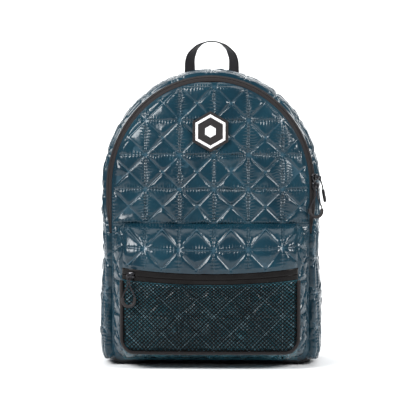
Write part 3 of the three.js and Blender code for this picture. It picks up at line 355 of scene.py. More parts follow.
# A body through closed rings of points, with its two ends filled
def loftMesh(name, rings, material, closed=False, uv=None, smooth=True):
    count, size = rings.shape[:2]
    index = np.arange(count * size).reshape(count, size)
    turned = np.roll(index, -1, axis=1)
    nextRing = np.roll(index, -1, axis=0) if closed else index[1:]
    nextTurned = np.roll(turned, -1, axis=0) if closed else turned[1:]
    here = index if closed else index[:-1]
    hereTurned = turned if closed else turned[:-1]
    faces = np.stack([here, hereTurned, nextTurned, nextRing], -1).reshape(-1, 4).tolist()
    if not closed:
        faces.append(index[0][::-1].tolist())
        faces.append(index[-1].tolist())
    return makeMesh(name, rings.reshape(-1, 3), faces, material, uv, smooth)


# The photograph's view: a long lens, level with the bag's middle and a little above it
view = {"distance": 3200, "azimuth": 1.0, "elevation": 4.5, "widthAtFront": 582.4, "aim": (-3.3, -75, 224)}
turn, tilt = math.radians(view["azimuth"]), math.radians(view["elevation"])
aim = Vector(view["aim"]) / 1000
away = Vector((math.sin(turn) * math.cos(tilt), -math.cos(turn) * math.cos(tilt), math.sin(tilt)))
cameraData = bpy.data.cameras.new("camera")
cameraData.sensor_width = 36
cameraData.lens = 36 * view["distance"] / view["widthAtFront"]
camera = bpy.data.objects.new("camera", cameraData)
camera.location = aim + away * view["distance"] / 1000
camera.rotation_euler = (-away).to_track_quat("-Z", "Y").to_euler()
bpy.context.collection.objects.link(camera)
bpy.context.scene.camera = camera


# Nylon taffeta, woven fine and calendered on one face: a dark petrol cloth with sharp bright folds
# each "seam" colour is a painted highlight along the stitch lines
nylon = {"colour": "0a2430", "light": "113340", "seam": "2b4552", "weave": 1.3}
# the cloth under the net is painted lighter, to make up for the net's shade
nettedNylon = {"colour": "183640", "light": "2b5560", "seam": "6d8b96", "weave": 1.3}


def nylonMaterial(name, cloth):
    material, shader = newMaterial(
        name,
        **{"IOR": 1.5, "Specular IOR Level": 0.3, "Coat Weight": 0.2, "Coat Roughness": 0.14},
    )
    height = addNode(material, "ShaderNodeAttribute", attribute_name="lift")
    cloud = addNode(
        material,
        "ShaderNodeTexNoise",
        {"Vector": coordinates(material, 60), "Scale": 1.0, "Detail": 5.0},
    )
    tone = addNode(material, "ShaderNodeValToRGB", {"Fac": cloud.outputs["Fac"]})
    tone.color_ramp.elements[0].position = 0.32
    tone.color_ramp.elements[1].position = 0.72
    tone.color_ramp.elements[0].color = linear(cloth["colour"])
    tone.color_ramp.elements[1].color = linear(cloth["light"])
    # a lighter colour is painted along the stitch lines: a painted highlight, standing in for the light
    # that the stitched folds catch
    offSeamHighlight = addNode(
        material,
        "ShaderNodeMapRange",
        {"Value": height.outputs["Fac"], "From Min": 0.05, "From Max": 0.4},
    )
    paintedSeamHighlight = addNode(material, "ShaderNodeMix", data_type="RGBA", blend_type="MIX")
    paintedSeamHighlight.inputs[6].default_value = linear(cloth["seam"])
    material.node_tree.links.new(tone.outputs["Color"], paintedSeamHighlight.inputs[7])
    material.node_tree.links.new(offSeamHighlight.outputs[0], paintedSeamHighlight.inputs[0])
    wire(material, shader, "Base Color", paintedSeamHighlight.outputs[2])
    # the real weave is 0.2 mm, too fine to show, so its grain is drawn about six times coarser
    grain = addNode(
        material,
        "ShaderNodeTexNoise",
        {"Vector": coordinates(material, cloth["weave"]), "Scale": 1.0},
    )
    rough = addNode(
        material,
        "ShaderNodeMapRange",
        {"Value": cloud.outputs["Fac"], "To Min": 0.2, "To Max": 0.3},
    )
    wire(material, shader, "Roughness", rough.outputs[0])
    bump = addNode(
        material,
        "ShaderNodeBump",
        {"Height": grain.outputs["Fac"], "Strength": 0.25, "Distance": 0.0002},
    )
    wire(material, shader, "Normal", bump.outputs[0])
    return material


quiltedNylon = nylonMaterial("calenderedNylonTaffeta", nylon)
# the same cloth under the net, painted lighter to make up for the shade of the net, which keeps half the
# light from it
coveredNylon = nylonMaterial("calenderedNylonUnderNet", nettedNylon)


def wovenMaterial(name, colour, light, roughness, warp, weft, depth, metal=0.0):
    # ribs along one UV direction and finer ones across it, with a soft tone along each yarn
    material, shader = newMaterial(name, Roughness=roughness, Metallic=metal)
    shader.inputs["Sheen Weight"].default_value = 0.05
    shader.inputs["Specular IOR Level"].default_value = 0.2
    lengthwise = addNode(
        material,
        "ShaderNodeTexWave",
        {"Vector": coordinates(material, (warp, warp, warp), True), "Scale": 0.05 * 2 * math.pi},
        bands_direction="Y",
    )
    crosswise = addNode(
        material,
        "ShaderNodeTexWave",
        {"Vector": coordinates(material, (weft, weft, weft), True), "Scale": 0.05 * 2 * math.pi},
        bands_direction="X",
    )
    both = addNode(
        material,
        "ShaderNodeMath",
        {0: lengthwise.outputs["Fac"], 1: crosswise.outputs["Fac"]},
        operation="MULTIPLY",
    )
    cloud = addNode(
        material,
        "ShaderNodeTexNoise",
        {"Vector": coordinates(material, 9), "Scale": 1.0, "Detail": 4.0},
    )
    share = addNode(
        material,
        "ShaderNodeMath",
        {0: both.outputs[0], 1: cloud.outputs["Fac"]},
        operation="MULTIPLY",
    )
    tone = addNode(material, "ShaderNodeValToRGB", {"Fac": share.outputs[0]})
    tone.color_ramp.elements[0].color = linear(colour)
    tone.color_ramp.elements[1].color = linear(light)
    tone.color_ramp.elements[1].position = 0.7
    wire(material, shader, "Base Color", tone.outputs["Color"])
    bump = addNode(
        material,
        "ShaderNodeBump",
        {"Height": both.outputs[0], "Strength": 0.5, "Distance": depth / 1000},
    )
    wire(material, shader, "Normal", bump.outputs[0])
    return material


# Woven polyester zip tape: matt charcoal-brown with fine ribs along it. Its ribs are 0.7 mm apart in
# reality, and all ribs here are drawn about twice as coarse as that so that they show
zipTape = wovenMaterial("wovenPolyesterTape", "151112", "282324", 0.62, 1.5, 0.9, 0.25)
# Woven polypropylene webbing: heavier ribs, a little sheen on each yarn
webbing = wovenMaterial("wovenPolypropyleneWebbing", "1b191c", "38353a", 0.7, 1.9, 1.3, 0.4)


# An even knit or weave in all three directions, for cloth that has no length of its own
def cellMaterial(name, colour, light, roughness, pitch, depth, evenness):
    material, shader = newMaterial(name, Roughness=roughness)
    shader.inputs["Specular IOR Level"].default_value = 0.15
    place = coordinates(material, pitch)
    cells = addNode(
        material,
        "ShaderNodeTexVoronoi",
        {"Vector": place, "Scale": 1.0, "Randomness": evenness},
    )
    cloud = addNode(
        material,
        "ShaderNodeTexNoise",
        {"Vector": coordinates(material, 12), "Scale": 1.0, "Detail": 4.0},
    )
    share = addNode(
        material,
        "ShaderNodeMath",
        {0: cells.outputs["Distance"], 1: cloud.outputs["Fac"]},
        operation="MULTIPLY",
    )
    tone = addNode(material, "ShaderNodeValToRGB", {"Fac": share.outputs[0]})
    tone.color_ramp.elements[0].color = linear(colour)
    tone.color_ramp.elements[1].color = linear(light)
    tone.color_ramp.elements[1].position = 0.45
    wire(material, shader, "Base Color", tone.outputs["Color"])
    cellsUp = {"Height": cells.outputs["Distance"], "Strength": 0.6, "Distance": depth / 1000}
    bump = addNode(material, "ShaderNodeBump", cellsUp)
    wire(material, shader, "Normal", bump.outputs[0])
    return material


# Knitted polyester net: matt, nearly black threads
netThread = cellMaterial("knittedPolyesterNet", "030405", "07090b", 1.0, 0.8, 0.08, 0.6)
# Spacer mesh on the back and straps: open knit over foam, dark and matt
spacerMesh = cellMaterial("knittedSpacerMesh", "141518", "2c2e34", 0.9, 3.0, 0.8, 0.15)
# Coated ballistic nylon under the bag: a plain black weave with a low shine
baseCloth = cellMaterial("coatedBallisticNylon", "07090b", "14171b", 0.5, 1.4, 0.2, 0.2)


def mouldedMaterial(name, colour, light, roughness, grain, metal=0.0, coat=0.0, gloss=0.5):
    material, shader = newMaterial(name, Roughness=roughness, Metallic=metal)
    shader.inputs["Specular IOR Level"].default_value = gloss
    shader.inputs["Coat Weight"].default_value = coat
    cloud = addNode(
        material,
        "ShaderNodeTexNoise",
        {"Vector": coordinates(material, 14), "Scale": 1.0, "Detail": 6.0},
    )
    tone = addNode(material, "ShaderNodeValToRGB", {"Fac": cloud.outputs["Fac"]})
    tone.color_ramp.elements[0].color = linear(colour)
    tone.color_ramp.elements[1].color = linear(light)
    wire(material, shader, "Base Color", tone.outputs["Color"])
    fine = addNode(material, "ShaderNodeTexNoise", {"Vector": coordinates(material, grain), "Scale": 1.0})
    bump = addNode(
        material,
        "ShaderNodeBump",
        {"Height": fine.outputs["Fac"], "Strength": 0.3, "Distance": 0.00015},
    )
    wire(material, shader, "Normal", bump.outputs[0])
    low, high = roughness * 0.85, roughness * 1.2
    worn = addNode(
        material,
        "ShaderNodeMapRange",
        {"Value": cloud.outputs["Fac"], "To Min": low, "To Max": high},
    )
    wire(material, shader, "Roughness", worn.outputs[0])
    return material


# Polyurethane film over the pocket zip: smooth, dark and wet-looking
coatedZip = mouldedMaterial("polyurethaneCoatedTape", "080606", "0d0b0b", 0.24, 2.0, gloss=0.15)
# Moulded soft PVC of the badge and grips: satin, faintly pebbled
blackRubber = mouldedMaterial("mouldedBlackRubber", "161314", "1f1b1c", 0.55, 0.9, gloss=0.35)
whiteRubber = mouldedMaterial("mouldedWhiteRubber", "d0cecf", "dedcdd", 0.5, 0.9)
# Die-cast zinc with baked black enamel: dark with small sharp glints
sliderMetal = mouldedMaterial("enamelledZinc", "1c1c20", "2a2a2f", 0.32, 1.2, metal=0.7, coat=0.5)
# Moulded acetal of the buckles: black with a soft satin shine
bucklePlastic = mouldedMaterial("mouldedAcetal", "151518", "1f1f23", 0.4, 0.8)
print("materials made")


# How the cloth moves while it settles. Links weaker than one limit only keep it from folding up.
clothFeel = {"keptSpeed": 0.88, "bendingBelow": 0.3, "calming": 1.6}

# Pairs of points that a cloth link joins: steps down and right, and the link's strength. Each kind
# is dealt in two groups that share no point.
linkKinds = [(1, 0, 1.0), (0, 1, 1.0), (1, 1, 0.6), (1, -1, 0.6), (2, 0, 0.12), (0, 2, 0.12)]
clothLinks = []
for down, right, strength in linkKinds:
    for first in range(2):
        clothLinks.append((down, right, first, max(down, abs(right)), strength))


def linkSlices(size, step, first, spread):
    # start points come in runs as long as the link, so that no point is used twice
    here = np.arange(size - step) if step >= 0 else np.arange(-step, size)
    return here[(here // spread) % 2 == first]


def settle(rest, normals, start, held, slack, cap, push, rounds):
    # Position-based cloth: links keep their length, the filling pushes out, stitches hold
    here = rest + normals * start[..., None]
    before = here.copy()
    free = np.where(held, 0.0, 1.0)
    groups = []
    rows, columns = free.shape
    for down, right, first, spread, strength in clothLinks:
        if down:
            i = linkSlices(rows, down, first, spread)
            j = np.arange(max(0, -right), columns - max(0, right))
        else:
            i = np.arange(rows)
            j = linkSlices(columns, right, first, spread)
        if not len(i) or not len(j):
            continue
        a = np.ix_(i, j)
        b = np.ix_(i + down, j + right)
        length = np.linalg.norm(rest[b] - rest[a], axis=-1) * (1 + (slack[a] + slack[b]) / 2)
        share = free[a] + free[b]
        share = np.where(share > 0, strength / np.maximum(share, 1), 0)
        bending = strength < clothFeel["bendingBelow"]
        groups.append((a, b, length, free[a] * share, free[b] * share, bending))
    for n in range(rounds):
        moved = (here - before) * clothFeel["keptSpeed"]
        before = here.copy()
        force = push * min(1, 2 - clothFeel["calming"] * n / rounds)
        here = here + (moved + normals * force) * free[..., None]
        for a, b, length, shareA, shareB, bending in groups:
            apart = here[b] - here[a]
            far = np.sqrt((apart * apart).sum(-1)) + 1e-9
            off = (far - length) / far
            if bending:
                off = np.minimum(off, 0)
            here[a] += apart * (off * shareA)[..., None]
            here[b] -= apart * (off * shareB)[..., None]
        lift = ((here - rest) * normals).sum(-1)
        over = np.where(lift > cap, cap - lift, np.where(lift < 0, -lift, 0)) * free
        here += normals * over[..., None]
    return here


def noiseAlong(places, spread, seed):
    # smooth random values over whole-number places, from -1 to 1
    table = np.random.default_rng(seed).uniform(-1, 1, 997)
    low = np.floor(places / spread).astype(int)
    return mix(table[low % 997], table[(low + 1) % 997], ease(places / spread - low))


# Smooth random values over a grid, from -1 to 1, changing over so many cells
def cloudOver(shape, spread):
    table = chance.uniform(-1, 1, [int(n / spread) + 3 for n in shape])
    a, b = (np.arange(n) / spread for n in shape)
    i, j = a.astype(int), b.astype(int)
    p, q = ease(a - i)[:, None], ease(b - j)[None, :]
    low = mix(table[np.ix_(i, j)], table[np.ix_(i + 1, j)], p)
    return mix(low, mix(table[np.ix_(i, j + 1)], table[np.ix_(i + 1, j + 1)], p), q)


# Gathers along the straight seams: short ridges square to the seam, where the thread pulls the
# cloth together. Far is the distance from the seam, run the length along it, both in mm.
def gathers(far, run, share, seam, spread, options):
    wander = noiseAlong(run + seam * 61.7, 9.0, 5) * 0.9 + noiseAlong(run + seam * 17.3, 23.0, 6) * 1.4
    bend = np.sin(far * 0.4 + seam * 1.7) * far * 0.025 * (spread - 0.6)
    turn = run / options["gatherPitch"] + wander * 0.3 + bend + seam * 0.37
    ridge = np.abs(np.sin(turn * math.pi)) - 0.4  # round along the top, pinched between
    strength = 0.7 + 0.3 * noiseAlong(run + seam * 31.1, 14.0, 7)
    reach = options["gatherReach"] * spread * (1 + 0.4 * noiseAlong(run + seam * 43.9, 9.0, 8))
    along = ease(share / 0.12) * ease((1 - share) / 0.12)
    shape = np.exp(-((far / reach) ** 2)) * ease(far / 0.9)
    return options["gather"] * ridge * strength * along * shape


# Quilted cloth over a surface. The grid's cells divide each quilt square evenly, so every
# stitch line runs through grid points.
def quiltCloth(points, normals, u, v, inset, options):
    fu, fv = u - np.floor(u), v - np.floor(v)
    cells = options["cells"]
    pitch = bag["quiltPitch"]
    toSide = np.minimum(np.minimum(fu, 1 - fu), np.minimum(fv, 1 - fv)) * pitch
    toDiagonal = np.minimum(np.abs(fu - fv), np.abs(fu + fv - 1)) * pitch * math.sqrt(0.5)
    toSeam = np.minimum(toSide, toDiagonal)
    column = np.rint(u * cells).astype(int)
    row = np.rint(v * cells).astype(int)
    onColumn, onRow = column % cells == 0, row % cells == 0
    rising, falling = (column - row) % cells == 0, (column + row) % cells == 0
    diagonal = rising | falling
    stitch = options["stitchCells"]
    stitched = (onColumn & (row % stitch == 0)) | (onRow & (column % stitch == 0))
    edge = ease(inset / options["edge"])

    # each triangle leans its own way, so each takes the light a little differently
    above, across = fv > fu, fu + fv > 1
    which = above * 2 + across
    square = ((column // cells) % 11, (row // cells) % 13)
    lean = chance.normal(0, options["lean"], (11, 13, 4, 2))[square[0], square[1], which]
    middleU = np.choose(which, [0.5, 0.83, 0.17, 0.5])
    middleV = np.choose(which, [0.17, 0.5, 0.5, 0.83])
    tilt = (lean[..., 0] * (fu - middleU) + lean[..., 1] * (fv - middleV)) * pitch
    crown = 1 - mix(np.exp(-toSeam / 5), np.exp(-toSeam / options["steep"]), options["flat"])
    full = np.maximum(options["puff"] * crown + tilt * (1 - np.exp(-toSeam / 4)), 0.3 * crown) * edge
    start = full * 0.95
    seam = np.where(onColumn | onRow | diagonal, 0.0, 1.0)
    jitter = chance.normal(0, 1, points.shape[:2])
    for _ in range(2):
        jitter = (jitter + np.roll(jitter, 1, 0) + np.roll(jitter, -1, 0) + np.roll(jitter, 1, 1)) / 4
    start = start + np.abs(jitter) * 0.6 * seam * edge
    held = diagonal | stitched | (inset <= options["hem"])
    start = np.where(held, 0, start)
    slack = options["slack"] + options["moreSlack"] + np.zeros_like(start)
    slack = slack * (0.8 + 0.4 * chance.random((13, 17))[(column // cells) % 13, (row // cells) % 17])
    cap = np.minimum(full * 1.1, options["cap"])
    cloth = settle(points, normals, start, held, slack, cap, options["push"], options["rounds"])

    columnSeam = np.rint(u) + 40 * np.floor(v)
    rowSeam = np.rint(v) * 7 + 40 * np.floor(u)
    ridges = gathers(np.abs(u - np.rint(u)) * pitch, fv * pitch, fv, columnSeam, options["spread"], options)
    ridges += gathers(np.abs(v - np.rint(v)) * pitch, fu * pitch, fu, rowSeam, 1.0, options)
    ridges = ridges * ease(toDiagonal / 4)
    # wrinkles that run out from each point where the seams meet
    du, dv = (u - np.rint(u)) * pitch, (v - np.rint(v)) * pitch
    far = np.hypot(du, dv)
    heading = np.arctan2(dv, du)
    ring = np.exp(-(((far - options["starAt"]) / options["starWidth"]) ** 2))
    rays = (1 - np.cos(options["starRays"] * heading)) / 2 * ring
    ridges += options["star"] * rays * (0.6 + 0.4 * np.cos(3 * heading + columnSeam * 2.1))
    # soft creases all over, sharper along their tops
    size = points.shape[:2]
    crease = (1 - np.abs(cloudOver(size, 7.0))) ** 3 * cloudOver(size, 15.0)
    crease += 0.5 * (1 - np.abs(cloudOver(size, 4.0))) ** 3 * cloudOver(size, 11.0)
    ridges += crease * options["crease"] * ease(toSeam / 3)
    ridges = ridges * edge * options["wrinkled"]
    ridges = ridges * np.where(options["cap"] < options["puff"], 0.25, 1)  # flatter where it is pressed
    cloth = cloth + normals * (ridges + options["raise"] * edge)[..., None]
    # the seams round a sheet keep the colour of the cloth without the painted seam highlight, so their
    # height counts as full
    lift = ((cloth - points) * normals).sum(-1) - options["raise"] * edge
    return cloth, lift + 2 * (1 - edge)


# Front panel: one quilted sheet above the pocket's rim and one behind it. The other quilted pieces
# start from these values too.
front = {
    "cells": 48,  # grid cells along a quilt square
    "stitchCells": 4,
    "hem": 0.5,  # cloth this near to the sheet's own seams is sewn down
    "edge": 7,  # and this far from them it is at its full height
    "puff": 2.0,
    "steep": 0.9,
    "flat": 0.5,
    "lean": 0.11,
    "slack": 0.045,
    "moreSlack": 0,
    "cap": 99.0,  # the cloth stands no higher, as under the badge
    "raise": 0,  # how far the whole sheet stands off the solid
    "push": 0.022,
    "rounds": 80,
    "gather": 2.8,
    "gatherPitch": 4.1,
    "gatherReach": 4.6,
    "spread": 1.0,  # how many times further the gathers reach
    "star": 0.8,
    "starAt": 7,
    "starWidth": 4.5,
    "starRays": 16,
    "crease": 0.4,
    "wrinkled": 1.0,
}
badge = {
    "width": 50,
    "thickness": 2.4,
    "height": 330,
    "seat": 2.4,
    "margin": 4,
    "rim": 4,
    "line": 3.6,
    "lineRise": 0.9,
    "heart": 15,
}


def frontSheet(name, x, z, sewnAt, options):
    gx, gz = np.meshgrid(x, z, indexing="ij")
    points = frontPanelAt(gx, gz)
    normals = gridNormals(points, 1)
    inset = readGrid(frontInset, gx, gz)
    u, v = (gx - bag["quiltOffset"]) / bag["quiltPitch"], (gz - pocket["top"]) / bag["quiltPitch"]
    away = np.hypot(gx, gz - badge["height"])
    pressed = badge["width"] / math.sqrt(3) + badge["margin"]
    cap = np.where(away < pressed, badge["seat"], options["cap"])
    sewn = np.minimum(inset, np.abs(gz - sewnAt))
    # the gathers reach further on the right and near the top, where the bag is less full
    spread = 1 + 0.9 * ease((gx - 20) / 60) + 0.5 * ease((gz - 330) / 50)
    cloth, lift = quiltCloth(points, normals, u, v, sewn, {**options, "cap": cap, "spread": spread})
    piece = sheetMesh(name, cloth, quiltedNylon, 1, inset > -bag["turnIn"], lift)
    finishPiece(piece, "quilted_nylon", "front_panel")


def makeFrontPanel():
    low = pocket["top"] - 4
    left, right = -147, 136
    fine = bag["quiltOffset"] + np.arange(left, right) * 1.0
    frontSheet("quilted_front", fine, low + np.arange(0, 202) * 1.0, low, front)
    # the part behind the pocket shows only at its two sides, and is coarse between them
    sides = np.arange(left, left + 36), np.arange(left + 36, right - 33, 4), np.arange(right - 33, right)
    mixed = bag["quiltOffset"] + np.concatenate(sides) * 1.0
    frontSheet("quilted_front_low", mixed, np.arange(6, low + 1) * 1.0, low, {**front, "crease": 1.1})


# Side wall: one quilted strip up both sides and over the top
wall = {**front, "cells": 40, "puff": 2.2, "gather": 1.6, "crease": 0.9, "edge": 5}
wall.update({"wrinkled": 0.35, "raise": 3.2})
wallEdges = {"underZip": 0.8, "overBack": 1.0, "overBase": 1.2, "seamShare": 0.25}
# The wall's lower part is fuller: where it ends as a share of the way up, and what it has more of
lowWall = {"top": 0.46, "fade": 0.2, "moreSlack": 0.05, "wrinkled": 1.1, "raise": 2.0}
wallStart = bottomRun + bag["cornerRadius"] * math.pi / 4
wallRun = 2 * (halfRun - wallStart)


def makeSideWall():
    squares = round(wallRun / bag["quiltPitch"])
    cells = wall["cells"]
    i = np.arange(squares * cells + 1)
    along = wallStart + i * wallRun / (squares * cells)
    along[0] -= wallEdges["overBase"]
    along[-1] += wallEdges["overBase"]
    j = np.arange(int(bag["wallRows"] * cells) + 1)
    share = j / (bag["wallRows"] * cells)
    zipEdge = zipWidthAt(along)[:, None]

    def across(width):
        low, high = zipEdge - wallEdges["underZip"], width[:, None] + wallEdges["overBack"]
        return low + (high - low) * share[None, :]

    points, _ = wallAt(along, across)
    normals = gridNormals(points, -1)
    u = (i / cells)[:, None] * np.ones_like(share)[None, :]
    v = share[None, :] * bag["wallRows"] - wallEdges["seamShare"] + np.zeros_like(u)
    v = np.rint(v * cells) / cells
    toEdge = np.minimum(share, 1 - share)[None, :] * (bag["frontEdgeDepth"] + bag["backEdgeDepth"] - 1)
    inset = np.minimum(toEdge, np.minimum(i, i[-1] - i)[:, None] * bag["quiltPitch"] / cells)
    height = np.interp(along, [0, halfRun, 2 * halfRun], [0, 1, 0])[:, None]
    low = ease((lowWall["top"] - height) / lowWall["fade"]) * np.ones_like(u)
    fuller = {key: wall[key] + lowWall[key] * low for key in ("moreSlack", "wrinkled", "raise")}
    options = {**wall, **fuller}
    cloth, lift = quiltCloth(points, normals, u, v, inset, options)
    piece = sheetMesh("quilted_wall", cloth, quiltedNylon, -1, lift=lift)
    finishPiece(piece, "quilted_nylon", "side_wall")


# Pocket: a padded top over the zip, two gussets, and a lower face under the net
pocketCloth = {**front, "lean": 0.07, "gather": 1.4}
lowCloth = {**pocketCloth, "cells": 40, "puff": 2.6, "lean": 0.13, "gather": 2.8, "crease": 1.2}
gussetCloth = {**pocketCloth, "cells": 40, "puff": 2.6, "slack": 0.07, "crease": 1.3}


# Columns and rows of a pocket sheet, on the quilting's own grid
def pocketColumns(cells):
    step = bag["quiltPitch"] / cells
    reach = pocket["faceHalfWidth"] + pocket["overlap"]
    first = math.ceil((-reach - bag["quiltOffset"]) / step)
    last = int((reach - bag["quiltOffset"]) / step)
    return bag["quiltOffset"] + np.arange(first, last + 1) * step


def pocketRows(cells, low, high):
    rows = pocketRow + np.arange(-160, 60) * (bag["quiltPitch"] / cells)
    return rows[(rows > low) & (rows < high)]


def makePocketPart(name, node, xs, evens, options, insetAt, material, sewnRows=0):
    gx, ge = np.meshgrid(xs, evens, indexing="ij")
    points = pocketAt(gx, ge)
    normals = gridNormals(points, 1)
    u = (gx - bag["quiltOffset"]) / bag["quiltPitch"]
    v = (ge - pocketRow) / bag["quiltPitch"]
    cloth, lift = quiltCloth(points, normals, u, v, insetAt(gx, ge), options)
    if sewnRows:
        # the rim turns in and is sewn down to the front panel
        cloth[..., 1] += ease(1 - (pocket["top"] - ge) / sewnRows) * (pocket["clearance"] - 0.6)
    piece = sheetMesh(name, cloth, material, 1, lift=lift)
    finishPiece(piece, "quilted_nylon", node)


# The gusset turns back steeply, so its columns are spaced by the length over the cloth
def makeGusset(node, side):
    columns, rows, cells = 34, 160, gussetCloth["cells"]
    fine = np.linspace(pocket["faceHalfWidth"] - 1, pocket["halfWidth"], 400)
    length = lengthsAlong(pocketAt(fine, np.full(len(fine), 100.0)))
    xs = np.interp(np.linspace(0, length[-1], columns), length, fine) * side
    gx, ge = np.meshgrid(np.sort(xs), np.linspace(pocket["bottom"], pocket["top"], rows), indexing="ij")
    points = pocketAt(gx, ge)
    normals = gridNormals(points, 1)
    place = np.arange(columns)[:, None] + np.zeros_like(gx)
    inset = np.minimum(place, columns - 1 - place)
    inset = np.minimum(inset, np.minimum(ge - pocket["bottom"], pocket["top"] - ge))
    v = (ge - pocketRow) / bag["quiltPitch"]
    cloth, lift = quiltCloth(points, normals, place / cells + 0.1, v, inset, gussetCloth)
    piece = sheetMesh("quilted_gusset_" + node.split("_")[-1], cloth, quiltedNylon, 1, lift=lift)
    finishPiece(piece, "quilted_nylon", node)


def makePocket():
    face, top, bottom = pocket["faceHalfWidth"] + 1, pocket["top"], pocket["bottom"] - 3
    zipTop, zipLow = pocket["zipTop"], pocket["zipTop"] - pocket["zipWidth"]

    def topInset(gx, ge):
        return np.minimum(np.minimum(face - np.abs(gx), top - ge), ge - zipTop + 1)

    def lowInset(gx, ge):
        return np.minimum(np.minimum(face - np.abs(gx), zipLow + 1 - ge), ge - bottom)

    cells = pocketCloth["cells"]
    xs, evens = pocketColumns(cells), np.append(pocketRows(cells, zipTop - 1, top - 0.4), top)
    makePocketPart("quilted_pocket_top", "pocket_top", xs, evens, pocketCloth, topInset, quiltedNylon, 6)
    cells = lowCloth["cells"]
    xs, evens = pocketColumns(cells), pocketRows(cells, bottom - pocket["overlap"], zipLow + 1)
    makePocketPart("quilted_pocket_face", "pocket_lower", xs, evens, lowCloth, lowInset, coveredNylon)
    makeGusset("pocket_side_right", 1)
    makeGusset("pocket_side_left", -1)


# Zip bands: two tape halves beside a narrow groove, ribbed lengthwise
tape = {"groove": 0.55, "edge": 0.7, "ribPitch": 1.55, "ribDepth": 0.12, "grooveDepth": 1.1, "under": 1.6}
film = {"rise": 0.9, "ribPitch": 50, "grooveDepth": 0.3, "under": 1.4, "ripple": 0.12, "columns": 170}


def zipSection(width, rise, ribPitch, ribDepth, grooveDepth):
    share = np.linspace(0, 1, 41)
    groove = np.exp(-(((share - 0.5) * width / tape["groove"]) ** 2)) * grooveDepth
    edge = ease(np.minimum(share, 1 - share) * width / tape["edge"])
    ribs = np.cos(share * width / ribPitch * 2 * math.pi) * ribDepth
    return share, edge * rise - groove + ribs * edge * (groove < 0.1)


def makeMainZip():
    gap = bag["gap"]
    start = alongAtHeight(mainZip["endHeight"]) + gap
    along = np.linspace(start, 2 * halfRun - start, 420)
    widths = zipWidthAt(along)
    ribs = tape["ribPitch"], tape["ribDepth"], tape["grooveDepth"]
    share, rise = zipSection(mainZip["width"], mainZip["rise"], *ribs)

    def across(total):
        return gap + (widths[:, None] - gap) * share[None, :]

    points, wanted = wallAt(along, across)
    normals = gridNormals(points, -1)
    top = points + normals * rise[None, :, None]
    under = points[:, ::-1] - normals[:, ::-1] * tape["under"]
    rings = np.concatenate([top, under[:, [0, -1]]], 1)
    uv = np.zeros(rings.shape[:2] + (2,))
    uv[..., 0] = along[:, None]
    uv[:, : len(share), 1] = wanted
    piece = loftMesh("main_zip_band", rings, zipTape, uv=uv.reshape(-1, 2))
    finishPiece(piece, "zip_tape", "main_zip")


def makePocketZip():
    x = np.linspace(-pocket["faceHalfWidth"], pocket["faceHalfWidth"], film["columns"])
    share, rise = zipSection(pocket["zipWidth"], film["rise"], film["ribPitch"], 0, film["grooveDepth"])
    even = pocket["zipTop"] - bag["gap"] / 2 - share * (pocket["zipWidth"] - bag["gap"])
    gx, ge = np.meshgrid(x, even, indexing="ij")
    points = pocketAt(gx, ge)
    normals = gridNormals(points, -1)
    ripple = chance.normal(0, 1, film["columns"])
    ripple = np.convolve(ripple, np.hanning(25) / 4, "same") * film["ripple"]
    top = points + normals * (rise[None, :] + ripple[:, None] * np.sin(share * math.pi)[None, :])[..., None]
    under = points[:, ::-1] - normals[:, ::-1] * film["under"]
    rings = np.concatenate([top, under[:, [0, -1]]], 1)[:, ::-1]
    piece = loftMesh("pocket_zip_band", rings, coatedZip)
    finishPiece(piece, "coated_zip", "pocket_zip")


# Net over the pocket's lower face, and the binding round its sides and foot
net = {
    "bottom": 25.5,
    "corner": 17,
    "binding": 4,
    "tucked": 3.4,
    "pitch": 5.4,
    "thread": 1.4,
    "flatness": 0.55,
    "height": 4.0,
    "weave": 0.16,
    "step": 1.3,
}


def netLimit(even, inset):
    # half the net's width at a height, inside its rounded lower corners
    radius = net["corner"] - inset
    middle = net["bottom"] + net["corner"]
    drop = np.clip(middle - even, 0, radius)
    straight = pocket["faceHalfWidth"] - net["corner"]
    return straight + np.sqrt(np.maximum(radius**2 - drop**2, 0))


def makeNet():
    top = pocket["zipTop"] - pocket["zipWidth"] - 0.2
    low = net["bottom"] + net["tucked"]
    points, faces = [], []
    for hand in (1, -1):
        for start in np.arange(-240, 240, net["pitch"]):
            even = np.arange(low, top + net["step"], net["step"])
            even[-1] = top
            x = start + hand * (even - low)
            inside = np.abs(x) < netLimit(even, net["tucked"])
            if inside.sum() < 3:
                continue
            x, even = x[inside], even[inside]
            middle = pocketAt(x, even)
            normal = normalsAt(pocketAt, x, even, 1)
            side = np.cross(normal, unit(np.gradient(middle, axis=0)))
            weave = net["weave"] * np.cos((even - low) / net["pitch"] * 2 * math.pi) * hand
            middle = middle + normal * (net["height"] + weave)[:, None]
            half, first, size = net["thread"] / 2, len(points), len(x)
            thin = half * net["flatness"]
            for offset in (side * half, normal * thin, -side * half, -normal * thin):
                points.extend(middle + offset)
            for k in range(4):
                a, b = first + k * size, first + (k + 1) % 4 * size
                faces += [(a + n, b + n, b + n + 1, a + n + 1) for n in range(size - 1)]
    piece = makeMesh("pocket_net", np.array(points), faces, netThread)
    finishPiece(piece, "net", "net_panel")


def bindingPath(inset):
    turn = np.linspace(0, math.pi / 2, 14)
    radius = net["corner"] - inset
    straight = pocket["faceHalfWidth"] - net["corner"]
    middle = net["bottom"] + net["corner"]
    side = np.linspace(pocket["zipTop"] - pocket["zipWidth"] - 0.6, middle, 26, endpoint=False)
    foot = np.linspace(straight, -straight, 90)[1:-1]
    right = np.concatenate([0 * side + straight + radius, straight + radius * np.cos(turn)])
    down = np.concatenate([side, middle - radius * np.sin(turn)])
    x = np.concatenate([right, foot, -right[::-1]])
    return x, np.concatenate([down, 0 * foot + net["bottom"] + inset, down[::-1]])


def makeBinding():
    profile = [(0.0, 0.5), (0.0, 4.6), (0.12, 5.7), (0.5, 6.0), (0.88, 5.7), (1.0, 4.4)]
    rings = []
    for share, rise in profile:
        x, even = bindingPath(share * net["binding"])
        rings.append(pocketAt(x, even) + normalsAt(pocketAt, x, even, 1) * rise)
    piece = loftMesh("net_edge_binding", np.stack(rings, 1)[:, ::-1], zipTape)
    finishPiece(piece, "zip_tape", "net_binding")


